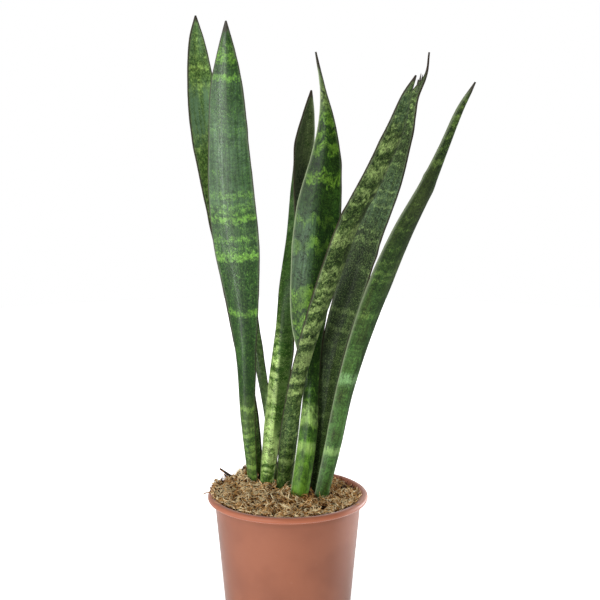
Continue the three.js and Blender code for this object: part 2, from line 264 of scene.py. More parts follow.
# %% Leaf stations: x, y, z, width, compass angle of the inner face, channel
STATIONS = {
    "leaf_back_left": [
        (-22, 37, 94, 8, 170, 0.55), (-25.5, 37, 130, 7.5, 170, 0.55), (-31, 38, 185, 9, 168, 0.50),
        (-40.5, 40, 240, 10.5, 165, 0.42), (-47.8, 42, 298, 18.6, 162, 0.30),
        (-55.5, 44, 352, 24.5, 160, 0.22), (-63.5, 46, 400, 28.5, 160, 0.20),
        (-71.8, 47, 446, 27.2, 160, 0.22), (-75.5, 48, 483, 22.6, 160, 0.25),
        (-78, 49, 514, 14, 160, 0.30), (-78.5, 50, 536, 1.2, 160, 0.20)],
    "leaf_front_left": [
        (-30.5, 28, 94, 9, 25, 0.75), (-32, 27, 130, 9, 25, 0.75), (-35.7, 24, 184, 13.5, 22, 0.62),
        (-37, 20, 240, 18, 20, 0.45), (-39.5, 16, 290, 29, 18, 0.28), (-44, 11, 340, 40.6, 16, 0.20),
        (-48, 6, 388, 40.5, 14, 0.20), (-50, 1, 436, 34.5, 12, 0.22), (-50.8, -3, 479, 28, 10, 0.25),
        (-50.5, -6, 511, 15.2, 10, 0.28), (-50.4, -9, 537, 1.2, 10, 0.20)],
    "leaf_short": [
        (-10, 27, 94, 7, 20, 0.60), (-12, 31, 127, 7, 20, 0.60), (-16, 38, 174, 7.5, 20, 0.50),
        (-24.5, 45, 227, 9, 15, 0.40), (-32.5, 50, 272, 12, 10, 0.30), (-39.5, 55, 324, 15, 5, 0.25),
        (-46.5, 60, 375, 13, 5, 0.25), (-51, 64, 419, 1.2, 5, 0.20)],
    "leaf_folded": [
        (-20, 21, 94, 11, 10, 0.60), (-19, 23, 127, 12, 12, 0.60), (-15.3, 26, 162, 15, 15, 0.66),
        (-11, 30, 200, 18.5, 20, 0.72), (-5.8, 34, 250, 21, 35, 0.75), (-3.2, 38, 298, 20.8, 60, 0.70),
        (3, 41, 345, 22, 85, 0.60), (7, 42, 388, 25, 110, 0.50), (12.8, 42, 426, 22.8, 135, 0.40),
        (17.5, 42, 452, 12.4, 145, 0.30), (20.5, 42, 473, 1.2, 150, 0.20)],
    "leaf_centre": [
        (5.5, -9, 94, 12, -10, 0.45), (11.1, -6, 129, 16, -10, 0.50), (18, 0.6, 178, 16.2, -8, 0.55),
        (20.5, 8, 226, 14.5, -5, 0.45), (18, 15, 277, 30, 0, 0.26), (23, 22, 326, 39.5, 0, 0.20),
        (27, 26, 372, 38.5, 0, 0.20), (32.5, 28, 413, 27, 0, 0.24), (33.5, 29, 446, 14.5, 0, 0.28),
        (30, 30, 476, 4.5, 0, 0.30), (24, 31, 507, 1.2, 0, 0.20)],
    "leaf_front": [
        (-7, 16, 94, 11, 0, 0.60), (-3.5, 12, 128, 13, 0, 0.60), (1.3, 5, 176, 15.2, -5, 0.55),
        (8, -7, 225, 14, -15, 0.45), (21, -17, 276, 17.5, -28, 0.35), (37.3, -24, 326, 23.3, -36, 0.28),
        (52.3, -31, 370, 24.8, -42, 0.25), (72.8, -36, 412, 23.8, -42, 0.25),
        (89.3, -39, 450, 20.2, -40, 0.26), (97.5, -41, 478, 10, -38, 0.28),
        (105, -43, 496, 1.2, -38, 0.20)],
    "leaf_thread_tip": [
        (21, 9, 94, 9, -150, 0.55), (24.6, 9, 130, 10.5, -150, 0.55), (32, 10.5, 190, 15.5, -150, 0.50),
        (41, 13.5, 252, 23.6, -150, 0.38), (55.2, 13, 305, 28.4, -147, 0.28),
        (69.2, 13, 353, 29.2, -145, 0.22), (86, 15, 400, 28, -145, 0.22),
        (99.5, 16, 442, 18, -145, 0.25), (107, 17, 470, 9.5, -145, 0.28),
        (116.8, 18, 489, 2.4, -145, 0.25), (119.4, 19, 508, 1.2, -145, 0.20)],
    "leaf_right": [
        (24, -8, 94, 12, -25, 0.45), (31, -9, 130, 13.5, -25, 0.50), (40.2, -11, 172, 15.6, -25, 0.55),
        (49.4, -14, 218, 18, -32, 0.48), (63, -19, 268, 24, -40, 0.38), (79.8, -23, 317, 31, -48, 0.30),
        (97.8, -26, 361, 32, -54, 0.26), (116.5, -28, 400, 25, -56, 0.26),
        (130, -29, 433, 16, -56, 0.28), (142.8, -30, 466, 10.5, -56, 0.28),
        (154.5, -31, 489, 1.2, -56, 0.20)],
}

# %% A smooth curve through the stations
def along(stations, t):
    """Every column of the stations at t, from 0 at the foot to 1 at the tip."""
    rows = np.array(stations, float)
    last = len(rows) - 1
    place = min(max(t, 0.0), 1.0) * last
    i = min(int(place), last - 1)
    f = place - i
    before = rows[i - 1] if i > 0 else 2 * rows[0] - rows[1]
    after = rows[i + 2] if i < last - 1 else 2 * rows[last] - rows[last - 1]
    b, d = rows[i], rows[i + 1]
    return b + 0.5 * ((d - before) * f + (2 * before - 5 * b + 4 * d - after) * f ** 2
                      + (3 * b - before - 3 * d + after) * f ** 3)

# %% [markdown]
# The cross-section is a thin lens that is bent over a rounded keel. Thickness goes from the stout
# stalk to the thin blade, and the margins keep a millimetre, as they do on the living leaf. Where a
# leaf is slender its thickness follows its width.

# %% Leaf cross-section
STALK_THICK, BLADE_THICK, MARGIN_THICK, MARGIN_MOST = 4.6, 2.6, 1.0, 0.8
SLENDER_SHARE, SLENDER_MORE = 0.42, 0.55
TAPER = (0.1, 0.5)
LENS_CURVE = 0.8
KEEL_ROUND, KEEL_REST = 0.35, 0.45
KEEL_SPAN = math.hypot(1, KEEL_ROUND) - KEEL_ROUND
HALF_POINTS = 17


def leaf_axes(stations, t):
    """The middle, the way across and the way inward at t, then width, channel and thickness."""
    x, y, z, span, face, fold = along(stations, t)
    growth = along(stations, t + 1e-3)[:3] - along(stations, t - 1e-3)[:3]
    growth /= np.linalg.norm(growth)
    turn = math.radians(face)
    inward = np.array([math.sin(turn), math.cos(turn), 0.0])
    inward -= growth * inward.dot(growth)
    inward /= np.linalg.norm(inward)
    width = max(span, MARGIN_THICK)
    taper = smoothstep(t, *TAPER)
    full = STALK_THICK + (BLADE_THICK - STALK_THICK) * taper
    thick = min(full, SLENDER_SHARE * width + SLENDER_MORE)
    return np.array([x, y, z]), np.cross(growth, inward), inward, width, fold * width / 2, thick


def leaf_ring(stations, t, grow=0.0, half_points=HALF_POINTS, relief=None, edges=(0.0, 0.0)):
    """Points round a leaf at t, and where each lies: across, to the margin, and on which face."""
    middle, across, inward, width, channel, thick = leaf_axes(stations, t)
    margin = min(MARGIN_THICK, MARGIN_MOST * thick)
    ring, notes = [], []
    for side in (-1, 1):
        for j in range(-half_points, half_points + 1):
            u = side * math.sin(math.pi / 2 * j / half_points)
            slope = channel * u / math.hypot(u, KEEL_ROUND) / KEEL_SPAN
            flat = math.hypot(width / 2, slope)
            half = (margin + (thick - margin) * max(0.0, 1 - u * u) ** LENS_CURVE) / 2 + grow
            if relief:
                half += relief(side, u * width / 2, width)
            stretch = edges[0] * max(0.0, -u) ** 3 + edges[1] * max(0.0, u) ** 3
            sideways = u * width / 2 + math.copysign(stretch, u) - side * half * slope / flat
            depth = channel * ((math.hypot(u, KEEL_ROUND) - KEEL_ROUND) / KEEL_SPAN - KEEL_REST)
            depth += side * half * (width / 2) / flat
            ring.append(middle + across * sideways + inward * depth)
            notes.append((u * width / 2, (1 - abs(u)) * width / 2, (side + 1) / 2))
    return ring, notes

# %% [markdown]
# A real margin is never a clean curve: it waves a little, and old knocks leave small nicks and
# swellings. Those are kept in a short table as place, side (1 or -1 across), size and length.
# Shallow lengthwise ribs run up both faces, where the fibres lie under the skin.

# %% Nicks, swellings and ribs
MARKS = {
    "leaf_right": [(296, 1, -1.0, 3), (284, -1, 1.2, 8), (196, -1, 0.6, 14)],
    "leaf_folded": [(300, -1, 0.9, 9), (250, 1, -0.5, 8), (120, -1, -0.5, 10)],
    "leaf_front_left": [(318, -1, 0.5, 10), (140, 1, -0.4, 12), (96, -1, -0.4, 8)],
    "leaf_back_left": [(230, -1, -0.5, 9), (300, -1, 0.4, 10)],
    "leaf_centre": [(288, -1, -0.5, 6), (210, 1, 0.5, 12)],
    "leaf_front": [(262, 1, -0.7, 5), (330, 1, 0.4, 8)],
    "leaf_thread_tip": [(214, 1, -0.8, 7), (322, 1, 0.5, 8)],
    "leaf_short": [(120, -1, -0.4, 8)],
}
MARGIN_WAVE, MARGIN_WAVE_PITCH, MARGIN_WAVE_FULL = 0.22, 13, 40
RIB_HEIGHT, RIB_PITCH, RIB_FULL_WIDTH = 0.07, 2.3, 14
RIB_SWAY, RIB_SWAY_PITCH = 0.9, 60


def margin_change(name, s, side):
    """How far a margin stands out at s: its slow wave, and its nicks and swellings."""
    wave = noise.noise(Vector((s / MARGIN_WAVE_PITCH, side * 5.0, len(name) * 3.1)))
    return wave * MARGIN_WAVE * smoothstep(s, 0, MARGIN_WAVE_FULL) + sum(
        size * math.exp(-((s - at) / length) ** 2)
        for at, where, size, length in MARKS[name] if where == side)


def rib(seed, s, side, across, width):
    """How far the skin stands out at this place, lower on a slender leaf and at its margins."""
    sway = noise.noise(Vector((s / RIB_SWAY_PITCH, seed, side * 2.0))) * RIB_SWAY
    fall = min(1.0, width / RIB_FULL_WIDTH) * (1 - (2 * across / width) ** 2)
    return RIB_HEIGHT * fall * math.sin(2 * math.pi * (across + sway) / RIB_PITCH)

# %% Build the leaves
RING_PITCH = 1.5
TIP_SPAN, TIP_RINGS = 6, 12
LENGTH_STEPS = 801
RIB_SEED_PITCH = 7.3


def leaf_lengths(stations):
    """Distance along the leaf at many even steps of t, with 0 where it leaves the soil."""
    steps = np.linspace(0, 1, LENGTH_STEPS)
    middles = np.array([along(stations, t)[:3] for t in steps])
    run = np.concatenate([[0], np.cumsum(np.linalg.norm(np.diff(middles, axis=0), axis=1))])
    return steps, run - np.interp(1 / (len(stations) - 1), steps, run)


def build_leaf(name, seed):
    stations = STATIONS[name]
    steps, run = leaf_lengths(stations)
    lengths = np.arange(run[0], run[-1] - TIP_SPAN, RING_PITCH)
    lengths = np.concatenate([lengths, np.linspace(lengths[-1], run[-1], TIP_RINGS)[1:]])
    rings, notes = [], []
    for s in lengths:
        t = float(np.interp(s, run, steps))
        edges = (margin_change(name, s, -1), margin_change(name, s, 1)) if s > 0 else (0.0, 0.0)
        ring, where = leaf_ring(stations, t, relief=partial(rib, seed, s), edges=edges)
        rings.append(ring)
        notes += [(s,) + w for w in where]
    points, faces = loft(rings)
    notes += [notes[0], notes[-1]]
    made = piece(name + "_blade", points, faces)
    for column, label in enumerate(("along", "across", "margin", "inner")):
        note(made, label, [row[column] for row in notes])
    print(f"{name}: {run[-1]:.0f} mm above the soil, {len(faces)} faces")
    return made, run[-1]


leaves = {}
leaf_length = {}
for number, leaf_name in enumerate(STATIONS):
    leaves[leaf_name], leaf_length[leaf_name] = build_leaf(leaf_name, number * RIB_SEED_PITCH)

# %% [markdown]
# The tip of one leaf has torn as it dried: beside its long thread stand three short spikes.

# %% Torn tip
FRAYS = [
    # root, bend, tip, thickness at the root
    ((109.8, 17, 473), (110.4, 17, 480), (110.4, 17.2, 485.5), 4.2),
    ((110.6, 17, 476), (111.4, 17, 483), (112.8, 17.2, 490.5), 2.6),
    ((112.6, 17.2, 478), (113.0, 17.3, 484), (114.2, 17.4, 489.5), 1.8),
]
FRAY_RINGS, FRAY_SIDES, FRAY_TURN = 12, 8, 5.5
FRAY_CURVE, FRAY_POINT, FRAY_FLAT, FRAY_MARGIN = 0.7, 0.12, 0.6, 1.5
FRAY_ROOT_FROM_TIP, FRAY_END_FROM_TIP = -26, -8
fray_turns = np.linspace(0, FRAY_TURN, FRAY_SIDES)
leaf_parts = dict(leaves)
for number, (root, bend, tip, thick) in enumerate(FRAYS):
    root, bend, tip = np.array(root), np.array(bend), np.array(tip)
    fray_rings = []
    for share in np.linspace(0, 1, FRAY_RINGS):
        middle = root * (1 - share) ** 2 + bend * 2 * share * (1 - share) + tip * share ** 2
        r = thick / 2 * (1 - share) ** FRAY_CURVE + FRAY_POINT
        ring = [(r * math.cos(a), FRAY_FLAT * r * math.sin(a), 0) for a in fray_turns]
        fray_rings.append([middle + point for point in ring])
    fray = piece(f"leaf_thread_tip_fray_{number + 1}", *loft(fray_rings))
    places = np.linspace(FRAY_ROOT_FROM_TIP, FRAY_END_FROM_TIP, FRAY_RINGS)
    places = np.repeat(places, FRAY_SIDES).tolist() + [places[0], places[-1]]
    note(fray, "along", [leaf_length["leaf_thread_tip"] + place for place in places])
    for label in ("across", "inner"):
        note(fray, label, [0.0] * len(fray.data.vertices))
    note(fray, "margin", [FRAY_MARGIN] * len(fray.data.vertices))
    leaf_parts[fray.name] = fray

# %% [markdown]
# ## The finish of the leaves
#
# The skin is a deep green, crossed by pale yellow-green bands. A band isn't painted on: it is
# made of short upright flecks, so its edges are ragged, and it wanders up and down in points
# across the leaf. So each leaf has a list of its bands (where, how wide, how pale) that
# becomes a curve along the leaf, and noise that is drawn out lengthwise moves the place where
# the curve is read. Places along a leaf are millimetres above the soil, places across it are
# millimetres from the keel, and a leaf's table names only what isn't as usual.
#
# - `deep`, `middle` and `pale` are the three greens, and `inside` is a duller tint over the inner
#   face, partly painted shade.
# - A band wanders by `sway`, has points of `zig`, one in each `zig_width`, and frays by `jag`. It
#   slants by `tilt`, and rises by `peak` towards both margins, or sinks where `peak` is negative.
# - `lines` and `mottle` fill the green with faint lines and flecks, `scribble` draws dark wavy
#   lines with the share `calm` of them near the foot, and `specks` is how strong the specks are.
# - `olive` is the drift towards olive, `gloss` the shine and `tip` the dried length of the tip.
# - `margins` and `pale_and_lit_margins` say how brown and how pale the left and the right margin are. The
#   pale edge is partly a painted highlight, where a margin catches the light.
# - `foot` lists fresher zones: where one starts, where it is full, where it ends, and its tint.
#   They are as strong as `stalk`, on skin that is paler than `gap`.
# - `painted_shades` lists painted shade, where a side of a leaf turned from the light or a stretch in the
#   shadow of other leaves is darkened: lit and dark across, lit and dark along, the end, and how dark.
# - `bloom_and_sheen` is where a grey waxy film and a painted sheen, the haze of reflected light, cover
#   the green, as places, widths and strengths like those of the bands, and `bloom_and_sheen_side` is
#   where it starts and where it is full across.

# %% How each leaf is coloured
ALL_ACROSS = (-99, -98)  # both lie past the margin, so the whole width is taken
TO_THE_FOOT = -60  # below the soil, so a zone doesn't end on the leaf
USUAL = dict(
    sway=2.4, zig=1.4, zig_width=9, jag=1.4, peak=0.0, tilt=0.0, lines=0.5, mottle=0.6, olive=0.0,
    gap=-0.3, gloss=0.35, scribble=0.7, calm=1.0, specks=1.0, inside=None, margins=(0.85, 0.85),
    pale_and_lit_margins=(0.0, 0.0), bloom_and_sheen_side=ALL_ACROSS, painted_shades=[], bloom_and_sheen=[],
    foot=[(110, 10, TO_THE_FOOT, (86, 134, 38))])
LOOKS = {
    "leaf_front_left": dict(
        deep=(24, 60, 16), middle=(60, 98, 35), pale=(106, 158, 50), sway=2.0, jag=1.3, peak=0.05,
        tilt=0.03, lines=0.28, mottle=0.72, stalk=0.8, gap=0.2, tip=11, gloss=0.5, scribble=0.55,
        calm=0.6, specks=0.7,
        foot=[(84, 66, TO_THE_FOOT, (148, 180, 92))],
        bloom_and_sheen=[(344, 36, 0.3), (305, 56, 0.5), (262, 30, 0.4), (222, 30, 0.2)],
        bands=[
            (388, 10, 0.45), (379, 12, 0.75), (361, 6, 0.75), (330, 4, 0.3), (316, 6, 0.35),
            (303, 3, 0.25), (292, 3, 0.2), (259, 6, 0.75), (251, 3, 0.6), (246, 4, 0.75), (238, 6, 0.85),
            (229, 3, 0.35), (220, 7, 0.6), (212, 4, 0.5), (204, 7, 1.1), (188, 3, 0.4), (180, 3, 0.35),
            (168, 3, 0.2), (153, 5, 1.0), (135, 2, 0.2), (110, 3, 0.2), (87, 3, 0.35), (65, 4, 0.8),
            (54, 3, 0.5), (47, 3, 0.55), (41, 3, 0.85), (34, 3, 0.6), (29, 3, 0.65), (23, 4, 0.9),
            (17, 3, 0.5), (11, 4, 0.95), (3, 3, 0.6)]),
    "leaf_back_left": dict(
        deep=(58, 90, 34), middle=(116, 150, 78), pale=(142, 174, 86), sway=3.0, zig=2.2, jag=1.6,
        peak=-0.15, lines=1.0, olive=0.1, stalk=0.25, tip=6, gloss=0.25, scribble=0.55,
        bloom_and_sheen=[(396, 40, 0.5), (326, 44, 1.1)],
        bands=[
            (396, 3, 0.6), (389, 3, 0.6), (383, 3, 0.5), (376, 4, 0.7), (366, 4, 0.6), (358, 3, 0.4),
            (350, 5, 0.8), (343, 4, 0.75), (334, 3, 0.4), (326, 4, 0.5), (317, 4, 0.6), (308, 5, 0.8),
            (298, 5, 0.8), (288, 4, 0.5), (276, 4, 0.5), (262, 4, 0.5), (240, 4, 0.6), (224, 3, 0.4),
            (205, 4, 0.7), (180, 3, 0.4), (150, 4, 0.6), (120, 3, 0.4), (90, 4, 0.5), (60, 4, 0.6),
            (40, 3, 0.6), (24, 4, 0.7), (10, 4, 0.7)]),
    "leaf_short": dict(
        deep=(100, 134, 76), middle=(134, 172, 100), pale=(150, 176, 104), sway=2.0, lines=0.8, olive=0.2,
        stalk=0.2, tip=9,
        bands=[
            (270, 4, 0.4), (250, 5, 0.5), (228, 4, 0.5), (205, 5, 0.6), (180, 4, 0.5), (158, 4, 0.5),
            (136, 3, 0.6), (126, 3, 0.5), (117, 3, 0.5), (108, 3, 0.5), (98, 3, 0.5), (84, 3, 0.5),
            (66, 4, 0.5), (44, 4, 0.7), (28, 4, 0.7), (12, 4, 0.7)]),
    "leaf_folded": dict(
        deep=(42, 74, 20), middle=(104, 146, 58), pale=(196, 226, 138), inside=(80, 88, 60), sway=2.8,
        zig=1.6, jag=1.3, peak=0.1, tilt=0.15, lines=0.3, mottle=0.38, stalk=0.15, tip=8, gloss=0.15,
        scribble=0.9, calm=0.8, specks=0.35, margins=(0.2, 0.85), pale_and_lit_margins=(0.5, 0.0),
        # painted shade over the far half of the stalk, and over the upper leaf
        painted_shades=[(-0.2, -2.6, 222, 196, 42, 0.9), (*ALL_ACROSS, 110, 165, TO_THE_FOOT, 0.85)],
        bloom_and_sheen=[(240, 30, 0.25)],
        bands=[
            (268, 8, 0.5), (252, 6, 0.6), (240, 5, 0.5), (228, 5, 0.6), (214, 6, 0.6), (204, 4, 0.6),
            (192, 8, 0.7), (180, 7, 0.75), (171, 6, 0.7), (160, 9, 0.8), (149, 6, 0.7), (140, 8, 0.8),
            (130, 8, 0.8), (120, 5, 0.7), (110, 9, 0.95), (98, 7, 0.95), (88, 9, 1.2), (77, 14, 1.35),
            (63, 6, 1.0), (50, 14, 1.25), (37, 7, 1.2), (30, 7, 1.45), (24, 4, 1.2), (19, 3, 1.1),
            (13, 4, 0.8), (8, 3, 0.8), (2, 4, 0.8)]),
    "leaf_centre": dict(
        deep=(25, 50, 17), middle=(52, 88, 28), pale=(104, 146, 48), sway=4.0, zig=5.5, zig_width=14,
        jag=2.0, peak=-0.3, lines=0.25, mottle=0.45, olive=0.05, stalk=0.92, gap=-0.08, tip=20,
        gloss=0.15, scribble=0.9, calm=0.05, specks=0.6, margins=(0.0, 0.95), pale_and_lit_margins=(0.6, 0.0),
        bloom_and_sheen_side=(-1, 5),
        # painted shade over the right half, which is turned from the light
        painted_shades=[(1.5, -3.0, 262, 235, 120, 0.7)],
        foot=[
            (325, 350, TO_THE_FOOT, (140, 156, 100)), (80, 72, 57, (148, 182, 100)),
            (56, 52, TO_THE_FOOT, (92, 140, 46)), (45, 42, 34, (152, 188, 98)),
            (34, 28, TO_THE_FOOT, (114, 162, 50))],
        bloom_and_sheen=[(350, 30, 0.2), (212, 60, 0.65)],
        bands=[
            (352, 14, 0.75), (340, 12, 0.9), (326, 7, 0.85), (314, 6, 0.8), (302, 9, 0.9),
            (276, 10, 0.95), (252, 3, 0.12), (238, 7, 0.85), (216, 10, 1.1), (203, 3, 0.3), (188, 3, 0.2),
            (175, 10, 1.15), (164, 7, 0.85), (152, 10, 0.8), (142, 8, 0.5), (128, 5, 0.4), (114, 5, 0.5),
            (100, 5, 0.5), (90, 5, 0.5), (80, 4, 0.7), (72, 3, 1.05), (63, 5, 1.2), (52, 3, 0.2),
            (46, 3, 0.5), (38, 8, 1.2), (22, 5, 0.5), (12, 4, 0.4), (3, 6, 0.9)]),
    "leaf_front": dict(
        deep=(26, 46, 10), middle=(80, 104, 50), pale=(130, 152, 86), sway=3.5, zig=2.4, jag=1.8,
        tilt=0.35, mottle=0.85, stalk=0.2, tip=7, gloss=0.2, margins=(0.85, 0.15),
        bloom_and_sheen=[(60, 30, 0.12), (362, 28, 0.45)],
        bands=[
            (384, 5, 0.5), (374, 4, 0.6), (366, 5, 0.6), (357, 4, 0.6), (348, 5, 0.7), (340, 4, 0.6),
            (329, 9, 0.9), (316, 4, 0.5), (306, 9, 0.9), (298, 4, 0.6), (286, 8, 0.85), (276, 5, 0.6),
            (262, 4, 0.4), (243, 16, 1.05), (222, 4, 0.3), (211, 7, 0.9), (203, 5, 0.8), (193, 6, 0.85),
            (184, 5, 0.75), (175, 6, 0.95), (157, 9, 0.9), (144, 6, 0.95), (125, 15, 1.05),
            (106, 8, 0.95), (93, 6, 0.8), (82, 4, 0.5), (71, 3, 0.6), (63, 3, 0.55), (56, 3, 0.6),
            (49, 3, 0.5), (43, 3, 0.5), (35, 3, 0.5), (25, 3, 0.9), (8, 3, 0.3)]),
    "leaf_thread_tip": dict(
        deep=(30, 46, 20), middle=(90, 118, 62), pale=(140, 166, 96), tilt=-0.1, lines=0.45, olive=0.08,
        stalk=0.1, tip=24, gloss=0.1,
        # painted shade over the lower leaf, in the shadow of the others
        painted_shades=[(*ALL_ACROSS, 250, 170, TO_THE_FOOT, 0.7)],
        bloom_and_sheen=[(264, 44, 0.55)],
        bands=[
            (358, 5, 0.8), (350, 4, 0.7), (343, 4, 0.75), (336, 4, 0.5), (329, 4, 0.5), (321, 4, 0.35),
            (313, 5, 0.35), (303, 5, 0.45), (292, 4, 0.5), (268, 4, 0.75), (262, 3, 0.75), (255, 4, 0.75),
            (240, 3, 0.3), (232, 4, 0.5), (222, 5, 0.6), (212, 3, 0.4), (198, 6, 0.45), (180, 4, 0.3),
            (158, 5, 0.9), (150, 3, 0.5), (141, 4, 0.9), (126, 4, 0.7), (112, 3, 0.5), (92, 4, 0.7),
            (78, 3, 0.5), (63, 4, 0.8), (46, 3, 0.6), (30, 3, 0.6), (14, 3, 0.3)]),
    "leaf_right": dict(
        deep=(24, 44, 12), middle=(58, 84, 26), pale=(110, 140, 60), tilt=0.1, olive=0.25, stalk=0.9,
        tip=12, gloss=0.4, scribble=0.4, calm=0.3, specks=0.6, margins=(0.3, 0.85),
        pale_and_lit_margins=(0.25, 0.0),
        # painted shade over the right side, which is turned from the light
        painted_shades=[(2.5, -4.5, 230, 140, TO_THE_FOOT, 0.75)],
        foot=[
            (265, 60, TO_THE_FOOT, (86, 138, 58)), (113, 108, 99, (124, 166, 106)),
            (44, 40, 34, (146, 184, 104))],
        bands=[
            (366, 5, 0.8), (358, 4, 0.8), (350, 5, 0.9), (343, 5, 0.7), (334, 4, 0.6), (322, 4, 0.5),
            (310, 6, 0.8), (298, 4, 0.35), (285, 4, 0.35), (270, 4, 0.35), (257, 4, 0.4), (246, 4, 0.4),
            (232, 3, 0.3), (215, 5, 0.5), (206, 5, 0.6), (198, 4, 0.5), (184, 4, 0.35), (165, 5, 0.7),
            (150, 3, 0.4), (130, 2, 0.2), (104, 3, 0.8), (90, 2, 0.5), (78, 2, 0.3), (62, 3, 0.5),
            (50, 2, 0.3), (37, 4, 1.0), (28, 2, 0.3), (20, 2, 0.3), (12, 2, 0.3)]),
}

# %% The bands as a curve along the leaf
CURVE_STEP = 2.0
FULL_SHARE, GONE_SHARE = 0.25, 0.85


def profile(shapes, length):
    """Turns (middle, width, height) shapes into points of a curve from foot to tip."""
    run = np.arange(0, length + CURVE_STEP, CURVE_STEP)
    level = np.zeros_like(run)
    for middle, width, height in shapes:
        away = smoothstep(np.abs(run - middle), FULL_SHARE * width, GONE_SHARE * width)
        level = np.maximum(level, height * (1 - away))
    return [(min(s / length, 1.0), float(v)) for s, v in zip(run, level)]

# %% [markdown]
# The margins carry a thin dried line, dark brown and slightly rough, with a greyer strip inside
# it. The tip dries in the same way, over half a centimetre to two and a half. The foot of each
# stalk is fresher, so it is a clearer green.

# %% The leaf finish
MARGIN_BROWN = paint(52, 42, 32)
MARGIN_GREY = paint(112, 124, 98)
# A pale margin, partly a painted highlight on an edge that catches the light.
MARGIN_PALE_AND_LIT = paint(176, 192, 150)
TIP_BROWN = paint(60, 52, 46)
# The grey of the waxy film, and of the painted sheen where a leaf mirrors the light.
BLOOM_AND_SHEEN_GREY = paint(106, 140, 104)
OLIVE = paint(84, 94, 42)
BLACK = (0, 0, 0, 1)
INSIDE_SHADE_SHARE = 0.68
SKIN_SEED_PITCH = 5.7


